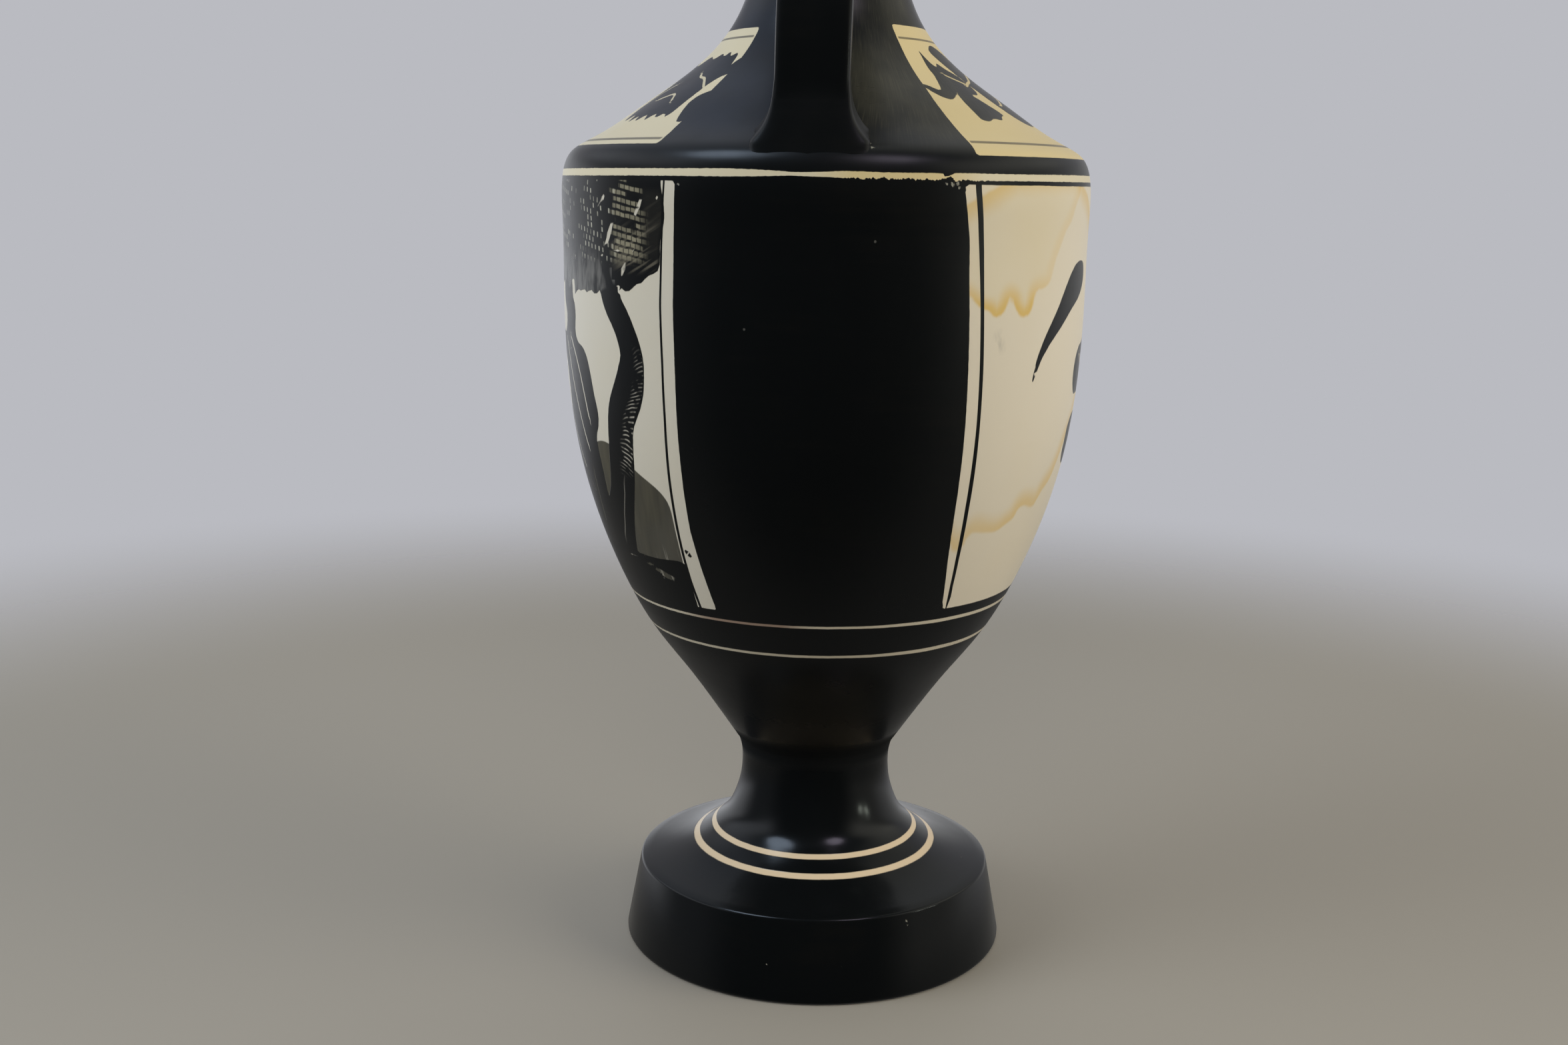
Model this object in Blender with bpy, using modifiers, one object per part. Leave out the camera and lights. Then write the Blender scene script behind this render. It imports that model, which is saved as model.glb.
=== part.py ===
"""A two-handled neck amphora in glazed clay, thrown thin and hollow, on a disc foot.

Metres, +Z up. The origin is the centre of the flat ring under the foot. The handles stand on the X axis.
"""

import math

import bmesh
import bpy
import numpy as np

# Foot: a disc with a sloping side, whose top sweeps up into a short stem.
FOOT_RADIUS = 0.0572
FOOT_RIM_RADIUS = 0.0531
FOOT_HEIGHT = 0.0241
FOOT_EDGE_ROUND = 0.0012
FOOT_RING_WIDTH = 0.0100
FOOT_RECESS_DEPTH = 0.0180
STEM_RADIUS = 0.0222
STEM_RISE = 0.0299
JOINT_RADIUS = 0.0233
JOINT_RISE = 0.0071

# Body, shoulder and neck. Each rise is measured from the top of the stretch below it.
BODY_RADIUS = 0.0750
BODY_RISE = 0.1667
NECK_RADIUS = 0.0201
NECK_RISE = 0.0759

# Mouth: a flare that ends in an upright lip.
LIP_RADIUS = 0.0370
FLARE_RISE = 0.0413
LIP_HEIGHT = 0.0150
LIP_ROUND = 0.0018

# Clay thickness.
WALL = 0.0050
FLOOR_THICKNESS = 0.0080

# Handles: straps that stand on the shoulder and turn in to the neck.
HANDLE_WIDTH = 0.0188
HANDLE_THICKNESS = 0.0085
HANDLE_REACH = 0.0654
HANDLE_RISE = 0.0732
HANDLE_LEAN = 0.0020
ROOT_FLARE = 1.55
TOP_FLARE = 1.25
FLARE_LENGTH = 0.0100

# How finely the round shapes are faceted: the longest facet, and the most that it turns in degrees.
TURN_FACETS = 48
FACET_LENGTH = 0.0240
FACET_TURN = 13.0
INSIDE_COARSENESS = 1.7
STRAP_FACET_LENGTH = 0.0120
STRAP_FACET_TURN = 15.0
STRAP_SIDES = 16
STRAP_SQUARENESS = 0.6
ARC_POINTS = 4

# Each form below is a run of stations, as shares of its own rise and of its change of radius.
FOOT_TOP_FORM = ((0.0, 1.0), (0.19, 0.46), (0.32, 0.285), (0.45, 0.155), (0.60, 0.078), (0.80, 0.018), (1.0, 0.0))
STEM_FORM = ((0.0, 0.0), (0.6, 0.3), (1.0, 1.0))
BODY_FORM = (
    (0.0, 0.0), (0.074, 0.163), (0.137, 0.308), (0.218, 0.507), (0.308, 0.670), (0.410, 0.806),
    (0.533, 0.918), (0.668, 0.978), (0.803, 0.996), (0.925, 1.0), (1.0, 0.997),
)
SHOULDER_FORM = (
    (0.038, 0.986), (0.080, 0.955), (0.118, 0.880), (0.160, 0.775), (0.259, 0.574),
    (0.378, 0.342), (0.496, 0.176), (0.654, 0.056), (0.820, 0.010), (1.0, 0.0),
)
FLARE_FORM = ((0.273, 0.030), (0.491, 0.120), (0.673, 0.280), (0.830, 0.620), (0.930, 0.930), (1.0, 1.0))
ARCH_FORM = (
    (1.0, 0.0), (1.008, 0.20), (1.0, 0.40), (0.93, 0.63), (0.72, 0.86), (0.42, 0.985), (0.15, 1.0), (0.0, 1.0),
)

# Where the bowl at the bottom of the hollow has its rings, as shares of its radius.
BOWL_SHARES = (0.75, 0.4)

# How far the handle's centre line is set in, and goes on, under the shoulder, in walls.
ROOT_INSET = 0.3
ROOT_DEPTH = 1.2

# Share of the lean that lies below the point where the handle stands exactly on the X axis.
LEAN_CENTRE = 0.3

# How far the cutters reach past the clay, and how near two points are welded.
PAST = 0.0100
WELD = 0.00001
FINE_SPANS = 12


def clear_scene():
    for obj in list(bpy.data.objects):
        bpy.data.objects.remove(obj, do_unlink=True)


def smooth_curve(stations):
    """Points along the natural cubic spline that passes through the stations."""
    points = np.array(stations, float)
    gaps = np.linalg.norm(np.diff(points, axis=0), axis=1)
    system = np.eye(len(points))
    bends = np.zeros_like(points)
    for i in range(1, len(points) - 1):
        system[i, i - 1:i + 2] = gaps[i - 1], 2 * (gaps[i - 1] + gaps[i]), gaps[i]
        bends[i] = 6 * ((points[i + 1] - points[i]) / gaps[i] - (points[i] - points[i - 1]) / gaps[i - 1])
    bends = np.linalg.solve(system, bends)
    found = [points[0]]
    for i, gap in enumerate(gaps):
        for k in range(1, FINE_SPANS + 1):
            b = k / FINE_SPANS
            a = 1 - b
            bow = (a ** 3 - a) * bends[i] + (b ** 3 - b) * bends[i + 1]
            found.append(a * points[i] + b * points[i + 1] + bow * gap ** 2 / 6)
    return np.array(found)


def thinned(points, most_length, most_turn):
    """The points kept where the curve has run a length, or turned by an angle in degrees, since the last one."""
    kept = [points[0]]
    used = 0.0
    for i in range(1, len(points) - 1):
        before = points[i] - points[i - 1]
        after = points[i + 1] - points[i]
        cross = before[0] * after[1] - before[1] * after[0]
        turn = math.degrees(math.atan2(abs(cross), float(before @ after)))
        used += np.linalg.norm(before) / most_length + turn / most_turn
        if used >= 1:
            kept.append(points[i])
            used = 0.0
    kept.append(points[-1])
    return np.array(kept)


def stations(form, start, end):
    """A form's stations as (radius, height), between a start and an end given as (radius, height)."""
    low = min(start[0], end[0])
    change = abs(end[0] - start[0])
    return [(low + share * change, start[1] + rise * (end[1] - start[1])) for rise, share in form]


def arc(centre, radius, start, end, count):
    """Points of an arc in the profile plane, with its angles in degrees from outwards, towards up."""
    angles = np.radians(np.linspace(start, end, count))
    return np.column_stack([centre[0] + radius * np.cos(angles), centre[1] + radius * np.sin(angles)])


def heights():
    """The height of each level of the pot, worked out from the rises."""
    level = {"rim": FOOT_HEIGHT}
    level["stem"] = level["rim"] + STEM_RISE
    level["joint"] = level["stem"] + JOINT_RISE
    level["shoulder"] = level["joint"] + BODY_RISE
    level["neck"] = level["shoulder"] + NECK_RISE
    level["lip"] = level["neck"] + FLARE_RISE
    level["top"] = level["lip"] + LIP_HEIGHT
    return level


LEVEL = heights()


def belly_to_lip():
    """The outer skin from the joint above the stem up to the underside of the lip, in one smooth curve."""
    joint = (JOINT_RADIUS, LEVEL["joint"])
    shoulder = (BODY_RADIUS, LEVEL["shoulder"])
    neck = (NECK_RADIUS, LEVEL["neck"])
    lip = (LIP_RADIUS, LEVEL["lip"])
    return smooth_curve(
        stations(BODY_FORM, joint, shoulder) + stations(SHOULDER_FORM, shoulder, neck) + stations(FLARE_FORM, neck, lip)
    )


def foot_to_joint():
    """The skin from the foot's rim up to the joint under the body."""
    rim = (FOOT_RIM_RADIUS - FOOT_EDGE_ROUND, LEVEL["rim"])
    stem = (STEM_RADIUS, LEVEL["stem"])
    joint = (JOINT_RADIUS, LEVEL["joint"])
    return smooth_curve(stations(FOOT_TOP_FORM, rim, stem) + stations(STEM_FORM, stem, joint)[1:])


def outside_profile():
    """The outer profile, from the axis above the mouth down to the axis under the foot."""
    edge = FOOT_EDGE_ROUND
    lip = arc((LIP_RADIUS - LIP_ROUND, LEVEL["top"] - LIP_ROUND), LIP_ROUND, 90, 0, ARC_POINTS)
    skin = thinned(belly_to_lip()[::-1], FACET_LENGTH, FACET_TURN)
    foot_top = thinned(foot_to_joint()[::-1], FACET_LENGTH, FACET_TURN)[1:]
    foot_rim = arc((FOOT_RIM_RADIUS - edge, LEVEL["rim"] - edge), edge, 60, 0, ARC_POINTS - 1)
    foot_edge = arc((FOOT_RADIUS - edge, edge), edge, 0, -90, ARC_POINTS - 1)
    return np.vstack([[(0, LEVEL["top"])], lip, skin, foot_top, foot_rim, foot_edge, [(0, 0)]])


def inside_profile():
    """The hollow's profile: the outer skin set in by the wall, from above the mouth down to the floor."""
    skin = belly_to_lip()
    along = np.gradient(skin, axis=0)
    along /= np.linalg.norm(along, axis=1)[:, None]
    inner = skin + WALL * np.column_stack([-along[:, 1], along[:, 0]])
    floor = LEVEL["joint"] + FLOOR_THICKNESS
    inner = inner[inner[:, 1] > floor + WALL]
    mouth = LIP_RADIUS - WALL
    inner = inner[inner[:, 1] < LEVEL["lip"] - LIP_ROUND]
    flared = inner[:, 1] > LEVEL["neck"]
    inner[flared, 0] = np.minimum(inner[flared, 0], mouth)
    lip = arc((mouth + LIP_ROUND, LEVEL["top"] - LIP_ROUND), LIP_ROUND, 90, 180, ARC_POINTS)
    inner = thinned(inner[::-1], INSIDE_COARSENESS * FACET_LENGTH, INSIDE_COARSENESS * FACET_TURN)
    side, height = inner[-1]
    bowl = [(share * side, floor + share ** 2 * (height - floor)) for share in BOWL_SHARES]
    top = [(0, LEVEL["top"] + PAST), (mouth + LIP_ROUND, LEVEL["top"] + PAST)]
    return np.vstack([top, lip, inner, bowl, [(0, floor)]])


def recess_profile():
    """The hollow under the foot, a shallow dome inside the ring that the pot stands on."""
    radius = FOOT_RADIUS - FOOT_RING_WIDTH
    angles = np.radians(np.linspace(90, 0, ARC_POINTS + 2))
    dome = np.column_stack([radius * np.cos(angles), FOOT_RECESS_DEPTH * np.sin(angles)])
    return np.vstack([dome, [(radius, -PAST), (0, -PAST)]])


def collection(name):
    made = bpy.data.collections.new(name)
    bpy.context.scene.collection.children.link(made)
    return made


def turned(name, profile, home):
    """A solid of revolution about Z, from a profile that runs down its outer side."""
    mesh = bpy.data.meshes.new(name)
    corners = [(radius, 0, height) for radius, height in profile]
    mesh.from_pydata(corners, [(i, i + 1) for i in range(len(corners) - 1)], [])
    obj = bpy.data.objects.new(name, mesh)
    home.objects.link(obj)
    screw = obj.modifiers.new("turn", "SCREW")
    screw.steps = TURN_FACETS
    screw.render_steps = TURN_FACETS
    screw.use_merge_vertices = True
    screw.merge_threshold = WELD
    return obj


def surface_height(radius):
    """The height of the shoulder's outer skin at this radius."""
    skin = belly_to_lip()
    upper = skin[(skin[:, 1] > LEVEL["shoulder"]) & (skin[:, 1] < LEVEL["neck"])]
    return float(np.interp(radius, upper[::-1, 0], upper[::-1, 1]))


def handle_path():
    """The handle's centre line as points in the X-Z plane, from under the shoulder to inside the neck's wall."""
    root = surface_height(HANDLE_REACH)
    reach = HANDLE_REACH - NECK_RADIUS
    arch = [(NECK_RADIUS + out * reach, root + up * HANDLE_RISE) for out, up in ARCH_FORM]
    buried = [(HANDLE_REACH - ROOT_INSET * WALL, root - ROOT_DEPTH * WALL)]
    return smooth_curve(buried + arch + [(NECK_RADIUS - WALL, root + HANDLE_RISE)])


def strap_section(home):
    """The strap's section, a flat oval with full edges, as a closed curve."""
    data = bpy.data.curves.new("strap_section", "CURVE")
    data.dimensions = "2D"
    data.fill_mode = "NONE"
    line = data.splines.new("POLY")
    line.points.add(STRAP_SIDES - 1)
    for i, point in enumerate(line.points):
        angle = math.tau * (i + 0.5) / STRAP_SIDES
        across = math.copysign(abs(math.cos(angle)) ** STRAP_SQUARENESS, math.cos(angle))
        through = math.copysign(abs(math.sin(angle)) ** STRAP_SQUARENESS, math.sin(angle))
        point.co = (across * HANDLE_WIDTH / 2, through * HANDLE_THICKNESS / 2, 0, 1)
    line.use_cyclic_u = True
    obj = bpy.data.objects.new("strap_section", data)
    home.objects.link(obj)
    obj.hide_render = True
    return obj


def flare(run, whole):
    """How much wider the strap is at this run along its path than in the middle."""
    root = max(0.0, 1 - (run - WALL) / FLARE_LENGTH)
    top = max(0.0, 1 - (whole - WALL - run) / FLARE_LENGTH)
    return 1 + (ROOT_FLARE - 1) * min(root, 1.0) ** 2 + (TOP_FLARE - 1) * min(top, 1.0) ** 2


def strap_curve(section, turn, home):
    """One handle as a curve that sweeps the strap's section along the arch."""
    path = thinned(handle_path(), STRAP_FACET_LENGTH, STRAP_FACET_TURN)
    runs = np.concatenate([[0], np.cumsum(np.linalg.norm(np.diff(path, axis=0), axis=1))])
    data = bpy.data.curves.new("strap", "CURVE")
    data.dimensions = "3D"
    data.twist_mode = "MINIMUM"
    data.bevel_mode = "OBJECT"
    data.bevel_object = section
    data.use_fill_caps = True
    line = data.splines.new("POLY")
    line.points.add(len(path) - 1)
    for point, (out, up), run in zip(line.points, path, runs):
        point.co = (out, HANDLE_LEAN * (run / runs[-1] - LEAN_CENTRE), up, 1)
        point.radius = flare(run, runs[-1])
    obj = bpy.data.objects.new("strap", data)
    home.objects.link(obj)
    obj.rotation_euler.z = turn
    return obj


def as_mesh(curve, name, home):
    """The curve's swept surface as a mesh object with welded caps, in the curve's place."""
    bpy.context.view_layer.update()
    evaluated = curve.evaluated_get(bpy.context.evaluated_depsgraph_get())
    mesh = bpy.data.meshes.new_from_object(evaluated)
    bm = bmesh.new()
    bm.from_mesh(mesh)
    bmesh.ops.remove_doubles(bm, verts=bm.verts, dist=WELD)
    bmesh.ops.recalc_face_normals(bm, faces=bm.faces)
    bm.to_mesh(mesh)
    bm.free()
    obj = bpy.data.objects.new(name, mesh)
    home.objects.link(obj)
    obj.matrix_world = curve.matrix_world.copy()
    bpy.data.objects.remove(curve, do_unlink=True)
    return obj


def handle_tools(home):
    """The two straps, half a turn apart, as meshes that the pot is joined with."""
    section = strap_section(home)
    straps = []
    for name, turn in (("strap_front", 0.0), ("strap_back", math.pi)):
        straps.append(as_mesh(strap_curve(section, turn, home), name, home))
    bpy.data.objects.remove(section, do_unlink=True)
    return straps


def combine(obj, other, operation):
    """Joins or cuts obj with a helper, which is then shown as wire only."""
    change = obj.modifiers.new(other.name, "BOOLEAN")
    change.operation = operation
    change.solver = "EXACT"
    change.object = other
    other.hide_render = True
    other.display_type = "WIRE"


def black_glaze():
    """The near-black glaze, with a soft shine."""
    material = bpy.data.materials.new("black_glaze")
    material.use_nodes = True
    shader = material.node_tree.nodes["Principled BSDF"]
    shader.inputs["Base Color"].default_value = (0.012, 0.013, 0.013, 1)
    shader.inputs["Roughness"].default_value = 0.3
    shader.inputs["Metallic"].default_value = 0
    return material


def finish(obj, material):
    """Gives the pot its glaze and smooth shading with crisp edges."""
    obj.data.materials.append(material)
    obj.data.shade_smooth()


def main():
    clear_scene()
    pieces = collection("amphora_pieces")
    tools = collection("cutters")
    amphora = turned("amphora", outside_profile(), pieces)
    for strap in handle_tools(tools):
        combine(amphora, strap, "UNION")
    combine(amphora, turned("hollow", inside_profile(), tools), "DIFFERENCE")
    combine(amphora, turned("foot_recess", recess_profile(), tools), "DIFFERENCE")
    finish(amphora, black_glaze())


main()
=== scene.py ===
# %% [markdown]
# # A painted two-handled amphora
# The real object is a thrown clay vase, covered with black glaze apart from two cream panels that carry
# a painted scene each. The CAD model gives its solid; this script gives it a fine skin and its painting.
# Everything is in metres in the CAD's own frame: the foot stands on z = 0 and the handles lie on the X axis.

# %% Load the fixed frame
import math

import bpy
import numpy as np
from mathutils import Matrix, Vector


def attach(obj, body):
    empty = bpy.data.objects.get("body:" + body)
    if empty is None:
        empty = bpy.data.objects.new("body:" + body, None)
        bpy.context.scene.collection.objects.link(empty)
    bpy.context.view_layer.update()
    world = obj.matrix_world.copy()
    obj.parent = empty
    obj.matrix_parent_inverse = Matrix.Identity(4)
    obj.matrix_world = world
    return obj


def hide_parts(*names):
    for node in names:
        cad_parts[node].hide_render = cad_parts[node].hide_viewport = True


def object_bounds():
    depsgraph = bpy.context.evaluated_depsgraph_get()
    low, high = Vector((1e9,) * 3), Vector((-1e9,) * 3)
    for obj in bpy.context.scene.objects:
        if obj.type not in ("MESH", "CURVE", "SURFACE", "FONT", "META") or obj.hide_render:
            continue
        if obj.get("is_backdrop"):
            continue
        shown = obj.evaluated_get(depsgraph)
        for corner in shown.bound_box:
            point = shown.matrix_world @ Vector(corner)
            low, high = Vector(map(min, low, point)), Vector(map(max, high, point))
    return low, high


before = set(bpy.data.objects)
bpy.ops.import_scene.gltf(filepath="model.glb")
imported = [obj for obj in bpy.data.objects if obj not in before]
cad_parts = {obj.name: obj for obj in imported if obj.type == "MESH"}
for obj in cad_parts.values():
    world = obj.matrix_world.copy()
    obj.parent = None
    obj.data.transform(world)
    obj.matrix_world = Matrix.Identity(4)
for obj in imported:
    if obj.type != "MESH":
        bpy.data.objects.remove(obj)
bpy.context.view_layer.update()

# %% [markdown]
# ## Sizes
# A potter thinks of a vase as a stack of stretches: foot, stem, body, neck and lip. Each stretch has a rise,
# a radius at its end, and a form, which says at which share of the rise the radius has changed by which
# share. The same numbers made the CAD solid, so the skin lies exactly on it.

# %% Sizes of the turned shape
FOOT_RADIUS = 0.0572
FOOT_RIM_RADIUS = 0.0531
FOOT_HEIGHT = 0.0241
FOOT_EDGE_ROUND = 0.0012
FOOT_RING_WIDTH = 0.0100
FOOT_RECESS_DEPTH = 0.0180
STEM_RADIUS = 0.0222
JOINT_RADIUS = 0.0233
BODY_RADIUS = 0.0750
NECK_RADIUS = 0.0201
LIP_RADIUS = 0.0370
LIP_ROUND = 0.0018
WALL = 0.0050
FLOOR_THICKNESS = 0.0080

STEM_LEVEL = FOOT_HEIGHT + 0.0299
JOINT_LEVEL = STEM_LEVEL + 0.0071
SHOULDER_LEVEL = JOINT_LEVEL + 0.1667
NECK_LEVEL = SHOULDER_LEVEL + 0.0759
LIP_LEVEL = NECK_LEVEL + 0.0413
TOP_LEVEL = LIP_LEVEL + 0.0150

FOOT_TOP_FORM = ((0.0, 1.0), (0.19, 0.46), (0.32, 0.285), (0.45, 0.155), (0.60, 0.078), (0.80, 0.018), (1.0, 0.0))
STEM_FORM = ((0.6, 0.3), (1.0, 1.0))
BODY_FORM = (
    (0.0, 0.0), (0.074, 0.163), (0.137, 0.308), (0.218, 0.507), (0.308, 0.670), (0.410, 0.806),
    (0.533, 0.918), (0.668, 0.978), (0.803, 0.996), (0.925, 1.0), (1.0, 0.997),
)
SHOULDER_FORM = (
    (0.038, 0.986), (0.080, 0.955), (0.118, 0.880), (0.160, 0.775), (0.259, 0.574),
    (0.378, 0.342), (0.496, 0.176), (0.654, 0.056), (0.820, 0.010), (1.0, 0.0),
)
FLARE_FORM = ((0.273, 0.030), (0.491, 0.120), (0.673, 0.280), (0.830, 0.620), (0.930, 0.930), (1.0, 1.0))
print("levels in mm:", [round(1000 * v, 1) for v in (JOINT_LEVEL, SHOULDER_LEVEL, NECK_LEVEL, LIP_LEVEL, TOP_LEVEL)])

# %% [markdown]
# ## The profile
# One line drawn from the middle of the hollow's floor, up the inside, over the lip, down the outside and in
# under the foot holds the whole vase. A smooth line through few stations looks thrown; many stations would
# look dented. The rings lie closest where the vase is painted, because the painting's outlines are kept in
# the mesh's points further on, and widest inside, so that the whole skin stays under 200,000 triangles.

# %% A smooth line through stations
FINE_SPANS = 40


def smooth_curve(stations, spans=FINE_SPANS):
    """Points along the natural cubic spline that passes through the stations."""
    points = np.array(stations, float)
    gaps = np.linalg.norm(np.diff(points[:, :2], axis=0), axis=1)
    system = np.eye(len(points))
    bends = np.zeros_like(points)
    for i in range(1, len(points) - 1):
        system[i, i - 1:i + 2] = gaps[i - 1], 2 * (gaps[i - 1] + gaps[i]), gaps[i]
        bends[i] = 6 * ((points[i + 1] - points[i]) / gaps[i] - (points[i] - points[i - 1]) / gaps[i - 1])
    bends = np.linalg.solve(system, bends)
    found = [points[0]]
    for i, gap in enumerate(gaps):
        for k in range(1, spans + 1):
            b = k / spans
            a = 1 - b
            bow = (a ** 3 - a) * bends[i] + (b ** 3 - b) * bends[i + 1]
            found.append(a * points[i] + b * points[i + 1] + bow * gap ** 2 / 6)
    return np.array(found)


def thinned(points, most_length, most_turn):
    """The points kept where the line has run a length, or turned by an angle in degrees, since the last one."""
    kept = [points[0]]
    used = 0.0
    for i in range(1, len(points) - 1):
        before = points[i] - points[i - 1]
        after = points[i + 1] - points[i]
        cross = before[0] * after[1] - before[1] * after[0]
        turn = math.degrees(math.atan2(abs(cross), float(before @ after)))
        used += np.linalg.norm(before) / most_length + turn / most_turn
        if used >= 1:
            kept.append(points[i])
            used = 0.0
    kept.append(points[-1])
    return np.array(kept)


def stretch(form, start, end):
    """A form's stations as (radius, height), between a start and an end given as (radius, height)."""
    low = min(start[0], end[0])
    change = abs(end[0] - start[0])
    return [(low + share * change, start[1] + rise * (end[1] - start[1])) for rise, share in form]


# %% The outer skin
JOINT = (JOINT_RADIUS, JOINT_LEVEL)
NECK = (NECK_RADIUS, NECK_LEVEL)
skin = smooth_curve(
    stretch(BODY_FORM, JOINT, (BODY_RADIUS, SHOULDER_LEVEL))
    + stretch(SHOULDER_FORM, (BODY_RADIUS, SHOULDER_LEVEL), NECK)
    + stretch(FLARE_FORM, NECK, (LIP_RADIUS, LIP_LEVEL))
)
foot_skin = smooth_curve(
    stretch(FOOT_TOP_FORM, (FOOT_RIM_RADIUS - FOOT_EDGE_ROUND, FOOT_HEIGHT), (STEM_RADIUS, STEM_LEVEL))
    + stretch(STEM_FORM, (STEM_RADIUS, STEM_LEVEL), JOINT)
)
print("skin points:", len(skin), "foot points:", len(foot_skin))

# %% The whole profile, from the hollow's floor to the middle of the foot's underside
TURN_STEPS = 320
PAINT_LOW = 0.105
PAINT_HIGH = 0.272
RING_GAP = 0.0012
PLAIN_GAP = 0.0026
MOST_TURN = 7.0
NECK_GAP, NECK_TURN = 0.0035, 8.0
INSIDE_GAP, INSIDE_TURN = 0.0160, 16.0
EDGE_POINTS = 5
RING_EDGE_ROUND = 0.0006
BOWL_SHARES = (0.25, 0.5, 0.75)
DOME_START, DOME_POINTS = 8, 10
# How far the foot's top and its side lean out from upright, in degrees.
FOOT_TOP_LEAN, FOOT_SIDE_LEAN = 66, 10


def arc(centre, radius, start, end, count=EDGE_POINTS):
    """Points of an arc, with its angles in degrees from outwards, towards up."""
    angles = np.radians(np.linspace(start, end, count))
    return np.column_stack([centre[0] + radius * np.cos(angles), centre[1] + radius * np.sin(angles)])


def inner_skin():
    """The hollow's side from its floor up to the mouth: the outer skin, set in by the wall."""
    along = np.gradient(skin, axis=0)
    along /= np.linalg.norm(along, axis=1)[:, None]
    inner = skin + WALL * np.column_stack([-along[:, 1], along[:, 0]])
    inner = inner[inner[:, 1] > JOINT_LEVEL + FLOOR_THICKNESS + WALL]
    inner = inner[inner[:, 1] < LIP_LEVEL - LIP_ROUND]
    flared = inner[:, 1] > NECK_LEVEL
    inner[flared, 0] = np.minimum(inner[flared, 0], LIP_RADIUS - WALL)
    return thinned(inner, INSIDE_GAP, INSIDE_TURN)


def whole_profile():
    """The profile's points as (radius, height)."""
    floor = JOINT_LEVEL + FLOOR_THICKNESS
    inner = inner_skin()
    side, height = inner[0]
    bowl = [(0, floor)] + [(s * side, floor + s ** 2 * (height - floor)) for s in BOWL_SHARES]
    mouth = LIP_RADIUS - WALL
    lip = np.vstack([
        arc((mouth + LIP_ROUND, TOP_LEVEL - LIP_ROUND), LIP_ROUND, 180, 90),
        arc((LIP_RADIUS - LIP_ROUND, TOP_LEVEL - LIP_ROUND), LIP_ROUND, 90, 0),
    ])
    down = skin[::-1]
    upper = thinned(down[down[:, 1] > PAINT_HIGH], NECK_GAP, NECK_TURN)
    painted = thinned(down[(down[:, 1] <= PAINT_HIGH) & (down[:, 1] > PAINT_LOW)], RING_GAP, MOST_TURN)
    lower = thinned(down[down[:, 1] <= PAINT_LOW], PLAIN_GAP, MOST_TURN)
    foot = thinned(foot_skin[::-1], PLAIN_GAP, MOST_TURN)[1:-1]
    rim_centre = (FOOT_RIM_RADIUS - FOOT_EDGE_ROUND, FOOT_HEIGHT - FOOT_EDGE_ROUND)
    rim = arc(rim_centre, FOOT_EDGE_ROUND, FOOT_TOP_LEAN, FOOT_SIDE_LEAN)
    edge = arc((FOOT_RADIUS - FOOT_EDGE_ROUND, FOOT_EDGE_ROUND), FOOT_EDGE_ROUND, FOOT_SIDE_LEAN, -90)
    recess = FOOT_RADIUS - FOOT_RING_WIDTH
    ring = arc((recess + RING_EDGE_ROUND, RING_EDGE_ROUND), RING_EDGE_ROUND, -90, -180)
    dome = np.radians(np.linspace(DOME_START, 90, DOME_POINTS))
    under = np.column_stack([recess * np.cos(dome), FOOT_RECESS_DEPTH * np.sin(dome)])
    under[-1, 0] = 0
    return np.vstack([bowl, inner, lip, upper, painted, lower, foot, rim, edge, ring, under])


profile = whole_profile()
print("profile points:", len(profile), "triangles:", 2 * TURN_STEPS * (len(profile) - 2))

# %% [markdown]
# ## Throwing the body
# On the wheel a pot is a profile that turns. The same is done here: one point is extruded along the profile
# in edit mode, and the line is spun once round the axis. It could also be a stack of circles that are
# bridged, but the spin gives even rings and closed poles with no seam.

# %% Small helpers for edit mode
WELD = 0.00001


def deselect():
    """Leaves edit mode and selects nothing, so that an operator acts on what comes next alone."""
    if bpy.context.object and bpy.context.object.mode != "OBJECT":
        bpy.ops.object.mode_set(mode="OBJECT")
    bpy.ops.object.select_all(action="DESELECT")


def close_up(obj):
    """Merges double points, turns the faces outwards and shades the skin smoothly."""
    bpy.ops.object.mode_set(mode="EDIT")
    bpy.ops.mesh.select_all(action="SELECT")
    bpy.ops.mesh.remove_doubles(threshold=WELD)
    bpy.ops.mesh.normals_make_consistent(inside=False)
    bpy.ops.object.mode_set(mode="OBJECT")
    bpy.ops.object.shade_smooth()
    print(obj.name, "faces:", len(obj.data.polygons))


# %% Spin the body
deselect()
bpy.ops.mesh.primitive_plane_add(size=0.01, location=(0, 0, 0))
body = bpy.context.object
body.name = body.data.name = "amphora_body"
bpy.ops.object.mode_set(mode="EDIT")
bpy.ops.mesh.select_all(action="SELECT")
bpy.ops.mesh.merge(type="CENTER")
bpy.ops.transform.translate(value=(profile[0][0], 0, profile[0][1]))
for (r0, z0), (r1, z1) in zip(profile, profile[1:]):
    bpy.ops.mesh.extrude_region_move(TRANSFORM_OT_translate={"value": (r1 - r0, 0, z1 - z0)})
bpy.ops.mesh.select_all(action="SELECT")
bpy.ops.mesh.spin(steps=TURN_STEPS, angle=math.tau, center=(0, 0, 0), axis=(0, 0, 1))
close_up(body)

# %% [markdown]
# ## Pulling the handles
# A potter pulls a strap of clay, presses its foot onto the shoulder and its head onto the neck, and smooths
# the joins with a wet finger. Here a flat oval is extruded along the handle's path, turned a little at each
# step, and its foot is then spread over the skin like the finger does.

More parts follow.
